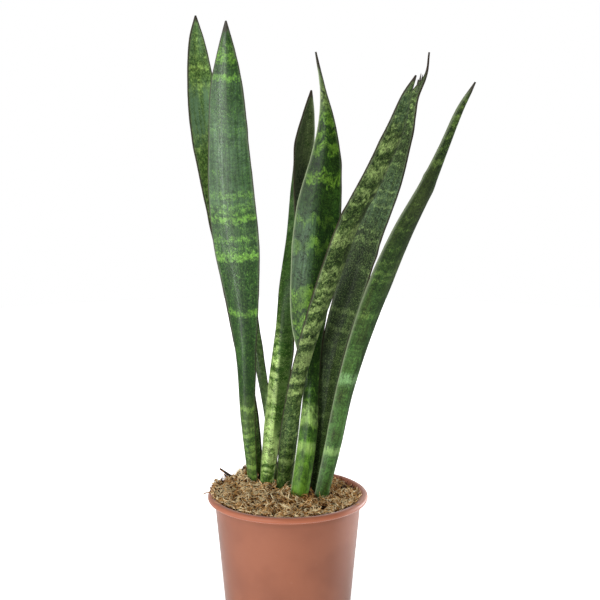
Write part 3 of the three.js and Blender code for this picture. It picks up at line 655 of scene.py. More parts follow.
def leaf_finish(name, seed):
    look = {**USUAL, **LOOKS[name]}
    deep, middle, pale_green = (paint(*look[tone]) for tone in ("deep", "middle", "pale"))
    length = leaf_length[name]
    f = Finish(name + "_skin")
    s, a, edge, inner = (f.noted(label) for label in ("along", "across", "margin", "inner"))
    layer = f.plus(seed, f.times(inner, 31.7))

    def drawn(across_mm, along_mm, shift, detail=2, roughness=0.5, run=s):
        """Noise with grains of this size, from a layer of its own for each shift."""
        where = f.place(f.times(a, 1 / across_mm), f.times(run, 1 / along_mm), f.plus(layer, shift))
        return f.cloud(where, detail=detail, roughness=roughness)

    # Where the band curve is read: swayed slowly, in points across, slanted, then jagged in strips.
    read = f.plus(s, f.swing(drawn(9, 40, 0.0), look["sway"]))
    wobble = f.plus(f.times(a, 1 / look["zig_width"]), f.times(drawn(6, 18, 2.0), 1.6))
    points = f.times(f.work_out("PINGPONG", wobble, 0.5), 2.0)
    read = f.plus(read, f.times(f.swing(points, look["zig"]), f.fade(drawn(12, 22, 3.0), 0.3, 0.6)))
    slant = f.plus(f.times(f.work_out("ABSOLUTE", a), -look["peak"]), f.times(a, look["tilt"]))
    read = f.plus(read, slant)
    read = f.plus(read, f.swing(drawn(1.5, 14, 4.0, 3, 0.6), 2 * look["jag"]))
    band = f.curve(f.times(read, 1 / length), profile(look["bands"], length))
    band = f.times(band, f.fade(drawn(4.5, 5, 7.0), 0.32, 0.56, 0.45, 1.05))
    # Flecks break the bands up, and faint lines that follow them fill the green between.
    fleck = f.plus(drawn(1.1, 2.0, 9.0, 4, 0.8), -0.5)
    lines = f.fade(drawn(16, 2.4, 13.0, 2, 0.55, run=read), 0.5, 0.7, 0.0, look["lines"])
    lines = f.times(lines, f.fade(drawn(7, 30, 17.0), 0.3, 0.65))
    pale = f.plus(f.plus(band, lines), f.times(fleck, 4.4 * look["mottle"]))
    colour = f.mix(f.fade(pale, -0.25, 0.5), deep, middle)
    # A darker line runs along both edges of a band.
    rim = f.times(f.fade(band, 0.02, 0.2), f.fade(band, 0.5, 0.25))
    colour = f.mix(f.times(rim, 0.55), colour, deep)
    colour = f.mix(f.fade(pale, 0.28, 1.05), colour, pale_green)
    # Painted shade: a side turned from the light, or a stretch in the shadow of other leaves, darkens
    # towards the deep green.
    for lit, dark, high, low, end, depth in look["painted_shades"]:
        shade = f.times(f.fade(f.plus(a, f.times(fleck, 1.5)), lit, dark), f.fade(s, high, low))
        shade = f.times(f.times(shade, depth), f.fade(s, end - 12, end + 12))
        colour = f.mix(shade, colour, deep)
    # The inner face gets a duller tint that is partly painted shade, as that face looks away from the
    # light.
    if look["inside"]:
        colour = f.mix(f.times(inner, INSIDE_SHADE_SHARE), colour, paint(*look["inside"]))
    # A slow drift towards olive, and the fresher foot.
    drift = f.fade(drawn(14, 50, 21.0), 0.4, 0.65)
    colour = f.mix(f.times(drift, look["olive"]), colour, OLIVE)
    gap, stalk = look["gap"], look["stalk"]
    for start, full, end, tint in look["foot"]:
        foot = f.times(f.fade(s, start, full), f.fade(pale, gap, gap + 0.65, 0.3 * stalk, stalk))
        foot = f.times(foot, f.fade(s, end - 3, end + 4))
        foot = f.times(foot, f.fade(drawn(4, 20, 25.0), 0.25, 0.6))
        colour = f.mix(foot, colour, paint(*tint))
    # Fine upright streaks and broad patches, lighter and darker.
    streak = f.times(f.fade(drawn(0.9, 45, 29.0, 3, 0.6), 0.3, 0.7, 0.78, 1.22),
                     f.fade(drawn(10, 34, 31.0), 0.3, 0.7, 0.82, 1.18))
    specks = look["specks"]
    grain = f.fade(drawn(1.5, 2.0, 71.0, 3, 0.65), 0.3, 0.7, -0.6 * specks, 0.6 * specks)
    streak = f.times(streak, f.plus(1.0, f.times(grain, f.fade(s, 40, 200, 0.35, 1.0))))
    colour = f.mix(1.0, colour, f.place(streak, streak, streak), "MULTIPLY")
    # A grey waxy film and a painted sheen, the haze of reflected light, in upright strokes.
    if look["bloom_and_sheen"]:
        bloom_and_sheen = f.curve(f.times(s, 1 / length), profile(look["bloom_and_sheen"], length))
        bloom_and_sheen = f.times(bloom_and_sheen, f.fade(drawn(1.8, 60, 33.0, 3, 0.6), 0.3, 0.68, 0.15, 1.0))
        bloom_and_sheen = f.times(bloom_and_sheen, f.fade(a, *look["bloom_and_sheen_side"]))
        colour = f.mix(bloom_and_sheen, colour, BLOOM_AND_SHEEN_GREY)
    # Dark wavy lines that run across, broken here and there.
    scribble = f.work_out("ABSOLUTE", f.plus(drawn(10, 2.5, 81.0, run=read), -0.5))
    scribble = f.times(f.fade(scribble, 0.075, 0.01), f.fade(drawn(7, 8, 85.0), 0.35, 0.55))
    scribble = f.times(scribble, f.fade(s, 30, 190, look["calm"], 1.0))
    colour = f.mix(f.times(scribble, look["scribble"]), colour, f.mix(0.5, deep, BLACK))
    # Small dark and light specks.
    colour = f.mix(f.fade(drawn(1.0, 1.5, 61.0, 1), 0.6, 0.7, 0.0, 0.45 * specks), colour, deep)
    colour = f.mix(f.fade(drawn(0.8, 1.1, 19.0, 1), 0.6, 0.72, 0.0, 0.5 * specks), colour, pale_green)
    # Greyer strip, dried margin and tip.
    ragged = f.plus(edge, f.swing(drawn(1.2, 5, 37.0), 0.25))
    strip = f.fade(f.plus(edge, f.swing(drawn(2.5, 24, 35.0), 1.6)), 2.6, 0.6)
    colour = f.mix(f.times(strip, f.fade(s, 60, 190, 0.08, 0.42)), colour, MARGIN_GREY)
    dried = f.fade(ragged, 1.1, 0.4)
    # Brown dried margins, and pale ones that are partly a painted highlight where an edge faces the
    # light.
    for sides, tint in (("margins", MARGIN_BROWN), ("pale_and_lit_margins", MARGIN_PALE_AND_LIT)):
        left, right = look[sides]
        colour = f.mix(f.times(dried, f.fade(a, -0.5, 0.5, right, left)), colour, tint)
    end = f.plus(f.plus(s, f.swing(drawn(2, 9, 41.0), 4.5)), -length)
    dry_tip = f.fade(end, -look["tip"], -0.45 * look["tip"])
    colour = f.mix(f.times(dry_tip, 0.9), colour, TIP_BROWN)

    rough = f.fade(drawn(3, 12, 45.0, 3, 0.6), 0.3, 0.7, 0.36, 0.48)
    dry = f.work_out("MAXIMUM", dried, dry_tip)
    ribs = drawn(0.55, 60, 49.0)
    pores = drawn(0.35, 0.5, 53.0)
    f.set(Base_Color=colour, Roughness=f.plus(rough, f.times(dry, 0.25)),
          Specular_IOR_Level=look["gloss"], Coat_Roughness=0.2,
          Coat_Weight=f.fade(dry, 0.0, 0.6, 0.2 * look["gloss"], 0.0),
          Normal=f.bump(pores, 0.00002, normal=f.bump(ribs, 0.00006)))
    return f.material


skins = {}
for number, leaf_name in enumerate(leaves):
    skins[leaf_name] = leaf_finish(leaf_name, number * SKIN_SEED_PITCH)
for part_name, leaf in leaf_parts.items():
    leaf_name = part_name.split("_fray")[0]
    leaf.data.materials.append(skins[leaf_name])
    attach(leaf, "root")
    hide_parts(leaf_name)

# %% [markdown]
# ## The pot
#
# A nursery pot is moulded in one shot: a thin tapered wall, a rolled lip that stiffens the mouth
# and a foot ring with drain holes in the recess inside it. It is turned from one outline, as a
# potter would, with many more sides than the solid, so that the shine on the lip stays smooth.

# %% Pot outline
POT_HEIGHT, LIP_RADIUS, LIP_SKIN = 125, 70, 1.6
LIP_ROUND, LIP_TUCK, MOUTH_ROUND, GROOVE_Z = 2.8, 40, 3.2, 122.1
WALL, FLOOR, FOOT_RADIUS, WALL_TOP_RADIUS, WALL_TOP_Z, FOOT_ROUND = 1.2, 1.8, 53, 63.7, 118, 1.5
RECESS_DEPTH, RECESS_INNER, RECESS_OUTER, RECESS_SLOPE = 3, 30, 46, 1.5
DRAINS, DRAIN_CIRCLE, DRAIN_RADIUS, DRAIN_LENGTH, DRAIN_MIDDLE, DRAIN_SIDES = 8, 38, 3.5, 7.2, 3.9, 28
POT_SIDES, WALL_FROM, WALL_RINGS, INSIDE_RINGS = 288, 4, 60, 30


def wall_radius(z):
    return FOOT_RADIUS + (WALL_TOP_RADIUS - FOOT_RADIUS) * z / WALL_TOP_Z


def inside_radius(z):
    return wall_radius(np.minimum(z, POT_HEIGHT - MOUTH_ROUND)) - WALL


def arc(r, z, radius, start, end, steps):
    angles = np.radians(np.linspace(start, end, steps + 1))
    return [(r + radius * math.cos(angle), z + radius * math.sin(angle)) for angle in angles]


def pot_outline():
    lip = (LIP_RADIUS - LIP_ROUND, POT_HEIGHT - LIP_ROUND)
    mouth = (inside_radius(POT_HEIGHT) + MOUTH_ROUND, POT_HEIGHT - MOUTH_ROUND)
    step = FLOOR + RECESS_DEPTH
    wall = [(wall_radius(z), z) for z in np.linspace(WALL_FROM, GROOVE_Z, WALL_RINGS)]
    inside_top = POT_HEIGHT - MOUTH_ROUND - 3
    inside = [(inside_radius(z), z) for z in np.linspace(inside_top, step, INSIDE_RINGS)]
    return ([(RECESS_INNER, 0), (RECESS_INNER + RECESS_SLOPE, RECESS_DEPTH)]
            + [(RECESS_OUTER - RECESS_SLOPE, RECESS_DEPTH), (RECESS_OUTER, 0)]
            + arc(FOOT_RADIUS - FOOT_ROUND, FOOT_ROUND, FOOT_ROUND, -90, 0, 8) + wall
            + arc(*lip, LIP_ROUND - LIP_SKIN, 0, -LIP_TUCK, 6) + arc(*lip, LIP_ROUND, -LIP_TUCK, 90, 22)
            + arc(*mouth, MOUTH_ROUND, 90, 180, 12) + inside
            + [(inside_radius(FLOOR) - FLOOR / 2, FLOOR), (RECESS_OUTER + FLOOR / 2, FLOOR)]
            + [(RECESS_OUTER - RECESS_SLOPE + FLOOR / 2, step)]
            + [(RECESS_INNER + RECESS_SLOPE - FLOOR / 2, step)]
            + [(RECESS_INNER - FLOOR / 2, FLOOR)])

# %% [markdown]
# Thin plastic is never a perfect circle. The wall and the lip swim in and out by a tenth of a
# millimetre, which bends the shine along them.

# %% Turn the pot
SWIM, SWIM_PACE, SWIM_RISE, SWIM_FROM = 0.12, 2.2, 40, 50


def pot_ring(radius, z):
    """One turn of the pot, swimming in and out where the floor doesn't hold it."""
    ring = []
    for a in np.linspace(0, 2 * math.pi, POT_SIDES, endpoint=False):
        spot = Vector((SWIM_PACE * math.cos(a), SWIM_PACE * math.sin(a), z / SWIM_RISE))
        r = radius + SWIM * noise.noise(spot) * (radius > SWIM_FROM)
        ring.append((r * math.cos(a), r * math.sin(a), z))
    return ring


pot = piece("pot_moulding", *loft([pot_ring(radius, z) for radius, z in pot_outline()]))
for i in range(DRAINS):
    angle = 2 * math.pi * (i + 0.5) / DRAINS
    middle = Vector((DRAIN_CIRCLE * math.cos(angle), DRAIN_CIRCLE * math.sin(angle), DRAIN_MIDDLE))
    drain = bmesh.new()
    bmesh.ops.create_cone(drain, cap_ends=True, segments=DRAIN_SIDES, radius1=DRAIN_RADIUS * MM,
                          radius2=DRAIN_RADIUS * MM, depth=DRAIN_LENGTH * MM,
                          matrix=Matrix.Translation(middle * MM))
    cut(pot, settled("drain", drain))
print("pot faces:", len(pot.data.polygons))

# %% [markdown]
# The plastic is satin, not glossy: fine spark texture from the mould scatters the shine. Real
# pots also show faint rings left by the turned mould, dusty scuffs and a paler, worn lip. A
# darker band under the lip is painted shadow.

# %% Pot finish
def pot_finish():
    f = Finish("pot_plastic")
    place = f.position()
    split = f.add("SeparateXYZ")
    f.feed(split.inputs[0], place)
    height = split.outputs[2]
    clouds = f.cloud(place, 22, 3, 0.55)
    colour = f.mix(f.fade(clouds, 0.35, 0.65), paint(144, 87, 64), paint(154, 94, 69))
    lip = f.fade(height, 0.1165, 0.1185)
    colour = f.mix(f.times(lip, 0.6), colour, paint(184, 106, 74))
    dust = f.fade(f.cloud(place, 260, 5, 0.7), 0.62, 0.78, 0.0, 0.12)
    colour = f.mix(dust, colour, paint(196, 160, 140))
    # Painted shadow: a darker band on the wall just under the lip.
    painted_lip_shadow = f.times(f.fade(height, 0.112, 0.1175), f.fade(height, 0.1185, 0.1175))
    colour = f.mix(f.times(painted_lip_shadow, 0.35), colour, paint(120, 74, 56))
    rough = f.fade(f.cloud(place, 60, 4, 0.6), 0.3, 0.7, 0.40, 0.52)
    rings = f.add("TexWave", wave_type="BANDS", bands_direction="Z", wave_profile="SIN")
    f.feed(rings.inputs["Vector"], place)
    rings.inputs["Scale"].default_value = 180
    rings.inputs["Distortion"].default_value = 0.6
    spark = f.cloud(place, 2600, 2, 0.5)
    f.set(Base_Color=colour, Roughness=rough, Specular_IOR_Level=0.3, Sheen_Weight=0.6,
          Sheen_Roughness=0.4,
          Normal=f.bump(spark, 0.00003, normal=f.bump(rings.outputs["Fac"], 0.000012)))
    return f.material


pot.data.materials.append(pot_finish())
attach(pot, "root")
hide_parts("pot")

# %% [markdown]
# ## The soil
#
# The mix is coir and peat: short flat chips and hair-like fibres over a darker crumb. A single
# bumpy surface would look like paste, so the bed gets only the crumb, and the chips and fibres
# are real pieces of mesh that are scattered over it. All random draws come from one seed.

# %% The height of the soil
SOIL_EDGE_Z = 123.6
HEAP, HOLLOW, CROWN = (-37, 40, 14, 10.5), (52, 28, 19, -3.5), (0, 4, 28, 1.6)
EDGE_FADE = 0.13
WAVES, WAVE_PACE, WAVE_PACE_STEP, WAVE_TURN, WAVE_RISE = 6, 0.35, 0.13, 2.4, 1.5
SHUFFLE_TIMES, SHUFFLE_PLUS, SHUFFLE_SIZE = 1664525, 1013904223, 4294967296
wave_state = 7
LUMPS = []
for i in range(WAVES):
    wave_state = (wave_state * SHUFFLE_TIMES + SHUFFLE_PLUS) % SHUFFLE_SIZE
    pace, turn = WAVE_PACE + WAVE_PACE_STEP * i, WAVE_TURN * i
    phase = 2 * math.pi * wave_state / SHUFFLE_SIZE
    LUMPS.append((pace * math.cos(turn), pace * math.sin(turn), phase))


def mound(shape, x, y):
    at_x, at_y, reach, rise = shape
    return rise * np.exp(-((x - at_x) ** 2 + (y - at_y) ** 2) / (2 * reach ** 2))


def soil_height(x, y):
    reach = np.hypot(x, y) / inside_radius(SOIL_EDGE_Z)
    lumps = sum(np.sin(px * x + py * y + phase) for px, py, phase in LUMPS) / (WAVES / 2)
    raised = mound(HEAP, x, y) + mound(CROWN, x, y) + WAVE_RISE * lumps
    return SOIL_EDGE_Z + mound(HOLLOW, x, y) + smoothstep(1 - reach, 0, EDGE_FADE) * raised

# %% The bed
GAP = 0.3
BED_SIDES, BED_RINGS, BED_SINK, BED_WALL_TOP = 240, 64, 0.5, 112
CRUMBS = [(1.7, 0.5, 0.8), (0.7, 5.5, 0.3)]
HOLE_ROOM, HOLE_HALF_POINTS, HOLE_RINGS, HOLE_TOP, HOLE_DEEPER = 0.4, 6, 9, 0.25, 0.05


def bed_rings():
    low, high = FLOOR + GAP, FLOOR + RECESS_DEPTH + GAP
    shell = [(RECESS_INNER - FLOOR / 2 - GAP, low), (RECESS_INNER + RECESS_SLOPE - FLOOR / 2 - GAP, high),
             (RECESS_OUTER - RECESS_SLOPE + FLOOR / 2 + GAP, high), (RECESS_OUTER + FLOOR / 2 + GAP, low),
             (inside_radius(FLOOR) - FLOOR / 2 - 2 * GAP, low), (inside_radius(high) - 1.5 * GAP, high),
             (inside_radius(BED_WALL_TOP) - GAP, BED_WALL_TOP)]
    turns = np.linspace(0, 2 * math.pi, BED_SIDES, endpoint=False)
    rings = [[(r * math.cos(a), r * math.sin(a), z) for a in turns] for r, z in shell]
    wall = inside_radius(SOIL_EDGE_Z)
    for k in range(BED_RINGS):
        ring = []
        for a in turns:
            c, s = math.cos(a), math.sin(a)
            edge = inside_radius(float(soil_height(wall * c, wall * s))) - GAP
            r = edge * (1 - k / BED_RINGS)
            x, y = r * c, r * s
            crumb = sum(noise.noise(Vector((x / pitch, y / pitch, layer))) * rise
                        for pitch, layer, rise in CRUMBS)
            ring.append((x, y, float(soil_height(x, y)) + crumb - BED_SINK))
        rings.append(ring)
    return rings


bed = piece("soil_bed", *loft(bed_rings()))
for stations in STATIONS.values():
    hole_rings = []
    for t in np.linspace(0, HOLE_TOP, HOLE_RINGS):
        hole_rings.append(leaf_ring(stations, t, grow=HOLE_ROOM, half_points=HOLE_HALF_POINTS)[0])
    foot = np.array(hole_rings[0])
    hole_rings[0] = foot - (np.array(hole_rings[1]).mean(0) - foot.mean(0)) * HOLE_DEEPER
    cut(bed, piece("hole", *loft(hole_rings)))
print("bed faces:", len(bed.data.polygons))

# %% [markdown]
# A chip is a bent, tapered splinter of three sections. It is laid nearly flat on the bed with its
# own turn and tilt, and left out where a stalk stands. Its tone, from dark peat to golden coir,
# is noted for the finish.

# %% Where the bits can lie
OVERHANG = 0.6
SPILL_REACH, SPILL_PILE = 64.4, 2.8
LEFT_AT, LEFT_SPREAD, LEFT_MORE = 166, 34, 4.2
BACK_RIGHT_AT, BACK_RIGHT_SPREAD, BACK_RIGHT_LESS = 40, 40, 2.0


def ground(x, y):
    """The top of the soil, and beyond the wall the rounded mouth and the lip."""
    r = np.hypot(x, y)
    mouth, lip = inside_radius(POT_HEIGHT) + MOUTH_ROUND, LIP_RADIUS - LIP_ROUND

    def rounded(radius, past):
        return POT_HEIGHT - radius + np.sqrt(np.maximum(radius ** 2 - np.maximum(past, 0) ** 2, 0))

    rim = np.minimum(rounded(MOUTH_ROUND, mouth - r), rounded(LIP_ROUND, r - lip))
    return np.maximum(soil_height(x, y), np.where(r < mouth - MOUTH_ROUND, 0, rim))


def spill(angle):
    """How far out the bits lie, and how high they pile up against the lip, for each side."""
    left = math.exp(-((math.degrees(angle) - LEFT_AT) / LEFT_SPREAD) ** 2)
    back_right = math.exp(-((math.degrees(angle) - BACK_RIGHT_AT) / BACK_RIGHT_SPREAD) ** 2)
    return SPILL_REACH + LEFT_MORE * left - BACK_RIGHT_LESS * back_right, SPILL_PILE * left


def reach_at(x, y):
    """How far from the middle a bit may end on this side."""
    return spill(math.atan2(y, x) % (2 * math.pi))[0] + OVERHANG

# %% Where the stalks stand
def stalk_sections():
    found = []
    for stations in STATIONS.values():
        t = 1 / (len(stations) - 1)
        middle, across, inward, width, channel, thick = leaf_axes(stations, t)
        found.append((middle[:2], across[:2], inward[:2], width / 2, thick / 2 + channel / 2))
    return found


STALKS = stalk_sections()


def in_stalk(x, y, clear):
    """Whether a place lies in a stalk, or closer to one than this."""
    for middle, across, inward, half_width, half_thick in STALKS:
        gap = np.array([x, y]) - middle
        sideways, inwards = gap.dot(across) / (half_width + clear), gap.dot(inward) / (half_thick + clear)
        if sideways ** 2 + inwards ** 2 < 1:
            return True
    return False

# %% Many loose bits as one mesh
class Scatter:
    """Loose bits that become one mesh, with the tone of each noted for the finish."""

    def __init__(self):
        self.points, self.faces, self.tones = [], [], []

    def add(self, points, faces, tone):
        start = len(self.points)
        self.points += points.tolist()
        self.faces += [tuple(i + start for i in face) for face in faces]
        self.tones += [tone] * len(points)

    def build(self, name, smooth):
        made = piece(name, self.points, self.faces, smooth)
        note(made, "tone", self.tones)
        return made

# %% Chips
draw = random.Random(20)
FULL_TURN = 6.283
CLUMP_RISE, CLUMP_PITCH, CLUMP_FADE, PILE_FADE = 2.2, 4.5, (66, 58), (52, 62)
CHIP_TILT, CHIP_ROLL, CHIP_DARKENING, CHIP_SHORTNESS = 0.42, 0.8, 0.75, 1.8
CHIP_THICKNESS, CHIP_THICKEST, CHIP_BEND = (0.3, 0.6), 1.2, (-0.3, 0.5)
CHIP_CLEAR, CHIP_CLEAR_SHARE = 0.4, 0.25


def splinter(length, width, thickness, bend):
    """Twelve points of a bent chip along X, four at each end and four between."""
    points = []
    for k, share in enumerate((-0.5, draw.uniform(-0.12, 0.12), 0.5)):
        w = width * (draw.uniform(0.25, 0.7) if k != 1 else 1) / 2
        h = thickness * (draw.uniform(0.5, 0.9) if k != 1 else 1) / 2
        lift = bend * length * (0.25 - share * share)
        drift = draw.uniform(-0.2, 0.2) * width
        for y, z in ((-w, -h), (w, -h), (w, h), (-w, h)):
            points.append((share * length, y + drift + draw.uniform(-0.08, 0.08) * width,
                           z + lift + draw.uniform(-0.1, 0.1) * thickness))
    return np.array(points)


SPLINTER_FACES = [(3, 2, 1, 0), (8, 9, 10, 11)] + [
    (k + s, k + (s + 1) % 4, k + 4 + (s + 1) % 4, k + 4 + s) for k in (0, 4) for s in range(4)]


def turned(points, yaw, pitch, roll):
    spin = Matrix.Rotation(yaw, 3, "Z") @ Matrix.Rotation(pitch, 3, "Y") @ Matrix.Rotation(roll, 3, "X")
    return points @ np.array(spin).T


def spot_on_soil(clear):
    """A place clear of the stalks, and how high the bits are piled up there."""
    while True:
        angle = draw.uniform(0, 2 * math.pi)
        reach, pile = spill(angle)
        radius = reach * math.sqrt(draw.random())
        x, y = radius * math.cos(angle), radius * math.sin(angle)
        if not in_stalk(x, y, clear):
            clump = CLUMP_RISE * noise.noise(Vector((x / CLUMP_PITCH, y / CLUMP_PITCH, 8.5)))
            clump *= float(smoothstep(radius, *CLUMP_FADE))
            return x, y, clump + pile * float(smoothstep(radius, *PILE_FADE)) * draw.random()


# Darker spots of the soil: damp patches, and painted shade in the hollow before the stalks.
DAMP_AND_SHADE_SPOTS = [(17, -18, 6.5), (40, 14, 6), (-6, -30, 4), (30, -38, 4), (52, 22, 5)]
# Painted light: the bits on the heap at the left are paler, to lift the slope that the lamps leave in
# shade.
PAINTED_LIGHT_SPOTS = [(-46, 8, 15)]
PAINTED_LIGHT_LIFT = 0.25


def closeness(spots, x, y):
    """How much a place belongs to round spots, each given as x, y and size."""
    shares = [math.exp(-((x - u) ** 2 + (y - v) ** 2) / (2 * size ** 2)) for u, v, size in spots]
    return min(1.0, sum(shares))


def spotted_tone(tone, darkening, x, y):
    """A bit's tone, darker in damp spots and painted shade, and paler where painted light lifts the heap
    at the left.
    """
    return tone * (1 - darkening * closeness(DAMP_AND_SHADE_SPOTS, x, y)) + PAINTED_LIGHT_LIFT * closeness(PAINTED_LIGHT_SPOTS, x, y)


def scatter_chips(name, count, longest, shortest, slim, tones, rise):
    scatter = Scatter()
    for _ in range(count):
        length = shortest + (longest - shortest) * draw.random() ** CHIP_SHORTNESS
        width = length * draw.uniform(*slim)
        thickness = min(width * draw.uniform(*CHIP_THICKNESS), CHIP_THICKEST)
        x, y, pile = spot_on_soil(CHIP_CLEAR + CHIP_CLEAR_SHARE * length)
        chip = turned(splinter(length, width, thickness, draw.uniform(*CHIP_BEND)),
                      draw.uniform(0, FULL_TURN), draw.gauss(0, CHIP_TILT), draw.gauss(0, CHIP_ROLL))
        chip += (x, y, pile + draw.uniform(*rise))
        reach, limit = np.hypot(chip[:, 0], chip[:, 1]).max(), reach_at(x, y)
        if reach > limit:
            chip[:, :2] *= limit / reach
        chip[:, 2] += ground(chip[:, 0], chip[:, 1])
        scatter.add(chip, SPLINTER_FACES, spotted_tone(draw.uniform(*tones), CHIP_DARKENING, x, y))
    return scatter.build(name, smooth=False)


CHIP_KINDS = [
    # name, how many, longest, shortest, width as a share of the length, tones, height over the bed
    ("soil_crumbs", 4800, 2.3, 0.6, (0.4, 0.9), (-0.5, 0.48), (-0.8, 0.6)),
    ("soil_chips", 2800, 5.6, 1.8, (0.12, 0.32), (-0.35, 1.0), (-0.4, 1.9)),
    ("soil_splinters", 1200, 10.0, 3.0, (0.05, 0.13), (0.1, 1.25), (0.3, 2.8)),
]
chips = [scatter_chips(*kind) for kind in CHIP_KINDS]
print("chips:", sum(len(c.data.polygons) for c in chips) // 10)

# %% [markdown]
# Coir fibres are as thin as bristles. Each is a tube of three sides along a wandering line that
# stays close to the soil, with one end sometimes lifted.

# %% Fibres
LONG_FIBRES = [
    # points, thickness, tone
    ([(-63, -12, 125.2), (-66, -14, 125.6), (-69.4, -15, 124.4), (-70.6, -15.5, 121), (-70.8, -16, 116),
      (-70.4, -16.4, 112.5)], 0.22, 0.75),
    ([(-52, 39, 127.5), (-57, 41, 131), (-61, 42, 134.5), (-62.5, 42, 138.5), (-64, 42, 143)], 0.16, 0.6),
    ([(-38, 43, 133.5), (-40, 44, 136), (-43, 45, 137), (-46, 45, 135)], 0.2, 0.8),
    ([(-57, -30, 124.6), (-60, -31, 126), (-62.5, -29, 126.6), (-63, -25, 125.4)], 0.2, 0.8),
]
THIRDS = (0, 4.189, 2.094)
FIBRES, FIBRE_POINTS, FIBRE_LEAST, FIBRE_DARKENING = 2300, 10, 4, 0.6
FIBRE_STEP, FIBRE_LIFT, FIBRE_TONES = (0.5, 1.5), (0.5, 2.8), (0.3, 1.3)
FIBRE_CURL, FIBRE_WANDER, FIBRE_START_CLEAR, FIBRE_CLEAR = 0.42, 0.25, 1.2, 0.5
THINNEST, THICKER, THINNESS = 0.15, 0.42, 2.5
THREAD_ENDS, THREAD_MIDDLE = 0.45, 0.55
LIFTED_SHARE, LIFT_RATE = 0.12, 0.06


def thread(points, thick):
    """A tube of three sides along a line, thinner at both ends."""
    points = np.asarray(points, float)
    rings = []
    for i, p in enumerate(points):
        ahead = points[min(i + 1, len(points) - 1)] - points[max(i - 1, 0)]
        ahead /= np.linalg.norm(ahead)
        side = np.cross(ahead, (0.0, 0.0, 1.0) if abs(ahead[2]) < 0.9 else (1.0, 0.0, 0.0))
        side /= np.linalg.norm(side)
        up = np.cross(side, ahead)
        swell = math.sin(math.pi * (i + 0.4) / (len(points) - 0.2))
        slim = thick * (THREAD_ENDS + THREAD_MIDDLE * swell)
        rings.append([p + slim * (math.cos(a) * side + math.sin(a) * up) for a in THIRDS])
    return loft(rings)


fibres = Scatter()
for _ in range(FIBRES):
    x, y, pile = spot_on_soil(FIBRE_START_CLEAR)
    heading = draw.uniform(0, FULL_TURN)
    step = draw.uniform(*FIBRE_STEP)
    lift = pile + draw.uniform(*FIBRE_LIFT)
    curl = draw.gauss(0, FIBRE_CURL)
    rate = LIFT_RATE if draw.random() < LIFTED_SHARE else 0
    line = []
    for k in range(FIBRE_POINTS):
        line.append((x, y, float(ground(x, y)) + lift + rate * k * k * step))
        heading += curl + draw.gauss(0, FIBRE_WANDER)
        x += step * math.cos(heading)
        y += step * math.sin(heading)
        if math.hypot(x, y) > reach_at(x, y) or in_stalk(x, y, FIBRE_CLEAR):
            break
    if len(line) > FIBRE_LEAST:
        tube = thread(line, THINNEST + THICKER * draw.random() ** THINNESS)
        fibres.add(*tube, spotted_tone(draw.uniform(*FIBRE_TONES), FIBRE_DARKENING, x, y))
for line, thick, tone in LONG_FIBRES:
    fibres.add(*thread(line, thick), tone)
fibre_mat = fibres.build("soil_fibres", smooth=True)
print("fibre faces:", len(fibre_mat.data.polygons))

# %% [markdown]
# Bits of bark stand up at the back left, where the soil is heaped against the lip. Others lie
# across the lip. The upright ones start below the surface, so that the soil holds them.

# %% Bark and spilled bits
LOOSE_BITS = [
    # one end, the other end, width, thickness, tone
    ((-46.5, 36.6, 124.0), (-60.9, 42, 133.8), 2.4, 1.7, 0.12),
    ((-40, 41, 126.5), (-37, 44, 134.5), 3.2, 1.2, 0.3),
    ((-50, 33, 124.0), (-57.5, 35, 131.0), 2.6, 1.2, 0.35),
    ((-64, 0, 125.0), (-69.8, 0, 125.6), 2.4, 0.9, 0.3),
    ((-68.5, 0, 125.8), (-74.7, 0, 123.4), 1.3, 0.7, 0.3),
    ((-58, 22, 124.2), (-64.5, 25, 129.4), 2.2, 1.2, 0.3),
    ((-60, 8, 124.2), (-66.5, 12, 128.6), 1.8, 1.0, 0.5),
    ((56, -30, 123.8), (61.5, -32, 125.8), 1.4, 0.7, 0.7),
]
BIT_BEND = 0.15
bits = Scatter()
for near, far, width, thickness, tone in LOOSE_BITS:
    way = Vector(far) - Vector(near)
    spin = np.array(way.to_track_quat("X", "Z").to_matrix())
    bit = splinter(way.length, width, thickness, BIT_BEND) @ spin.T + (np.array(near) + far) / 2
    bits.add(bit, SPLINTER_FACES, tone)
bark = bits.build("soil_bark", smooth=False)

# %% Soil finish
PEAT = paint(28, 14, 3)
COIR_TONES = [
    # tone where it starts, tone where it is full, colour
    (0.0, 0.35, paint(140, 92, 44)), (0.3, 0.65, paint(222, 172, 106)), (0.7, 1.05, paint(255, 236, 190))]


def soil_finish(name, noted):
    f = Finish(name)
    place = f.position()
    grain, patches, clumps = f.cloud(place, 900, 4, 0.65), f.cloud(place, 70), f.cloud(place, 260)
    tone = f.noted("tone") if noted else f.fade(patches, 0.3, 0.7, 0.0, 0.25)
    for cloud, reach in ((grain, 0.35), (patches, 0.5), (clumps, 0.9)):
        tone = f.plus(tone, f.swing(cloud, reach))
    colour = PEAT
    for low, high, tint in COIR_TONES:
        colour = f.mix(f.fade(tone, low, high), colour, tint)
    f.set(Base_Color=colour, Roughness=f.fade(grain, 0.3, 0.7, 0.75, 0.95),
          Specular_IOR_Level=0.25, Normal=f.bump(grain, 0.0002))
    return f.material


coir = soil_finish("coir_chips", True)
for part in chips + [fibre_mat, bark, bed]:
    part.data.materials.clear()
    part.data.materials.append(coir if part is not bed else soil_finish("peat_crumb", False))
    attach(part, "root")
    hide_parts("soil")

# %% [markdown]
# ## The studio
#
# A pale round floor in a white surround, and six soft lights. The key at the upper left front
# draws the long highlight up each leaf. One from the left side and one from above round the
# shapes off, a weak fill opens the shadows at the right, and a narrow upright strip puts a thin
# shine on the blades. The smallest lights the right end of the lip from behind, in a narrow beam,
# because a wide one lays a grey haze on the edges of the leaves.

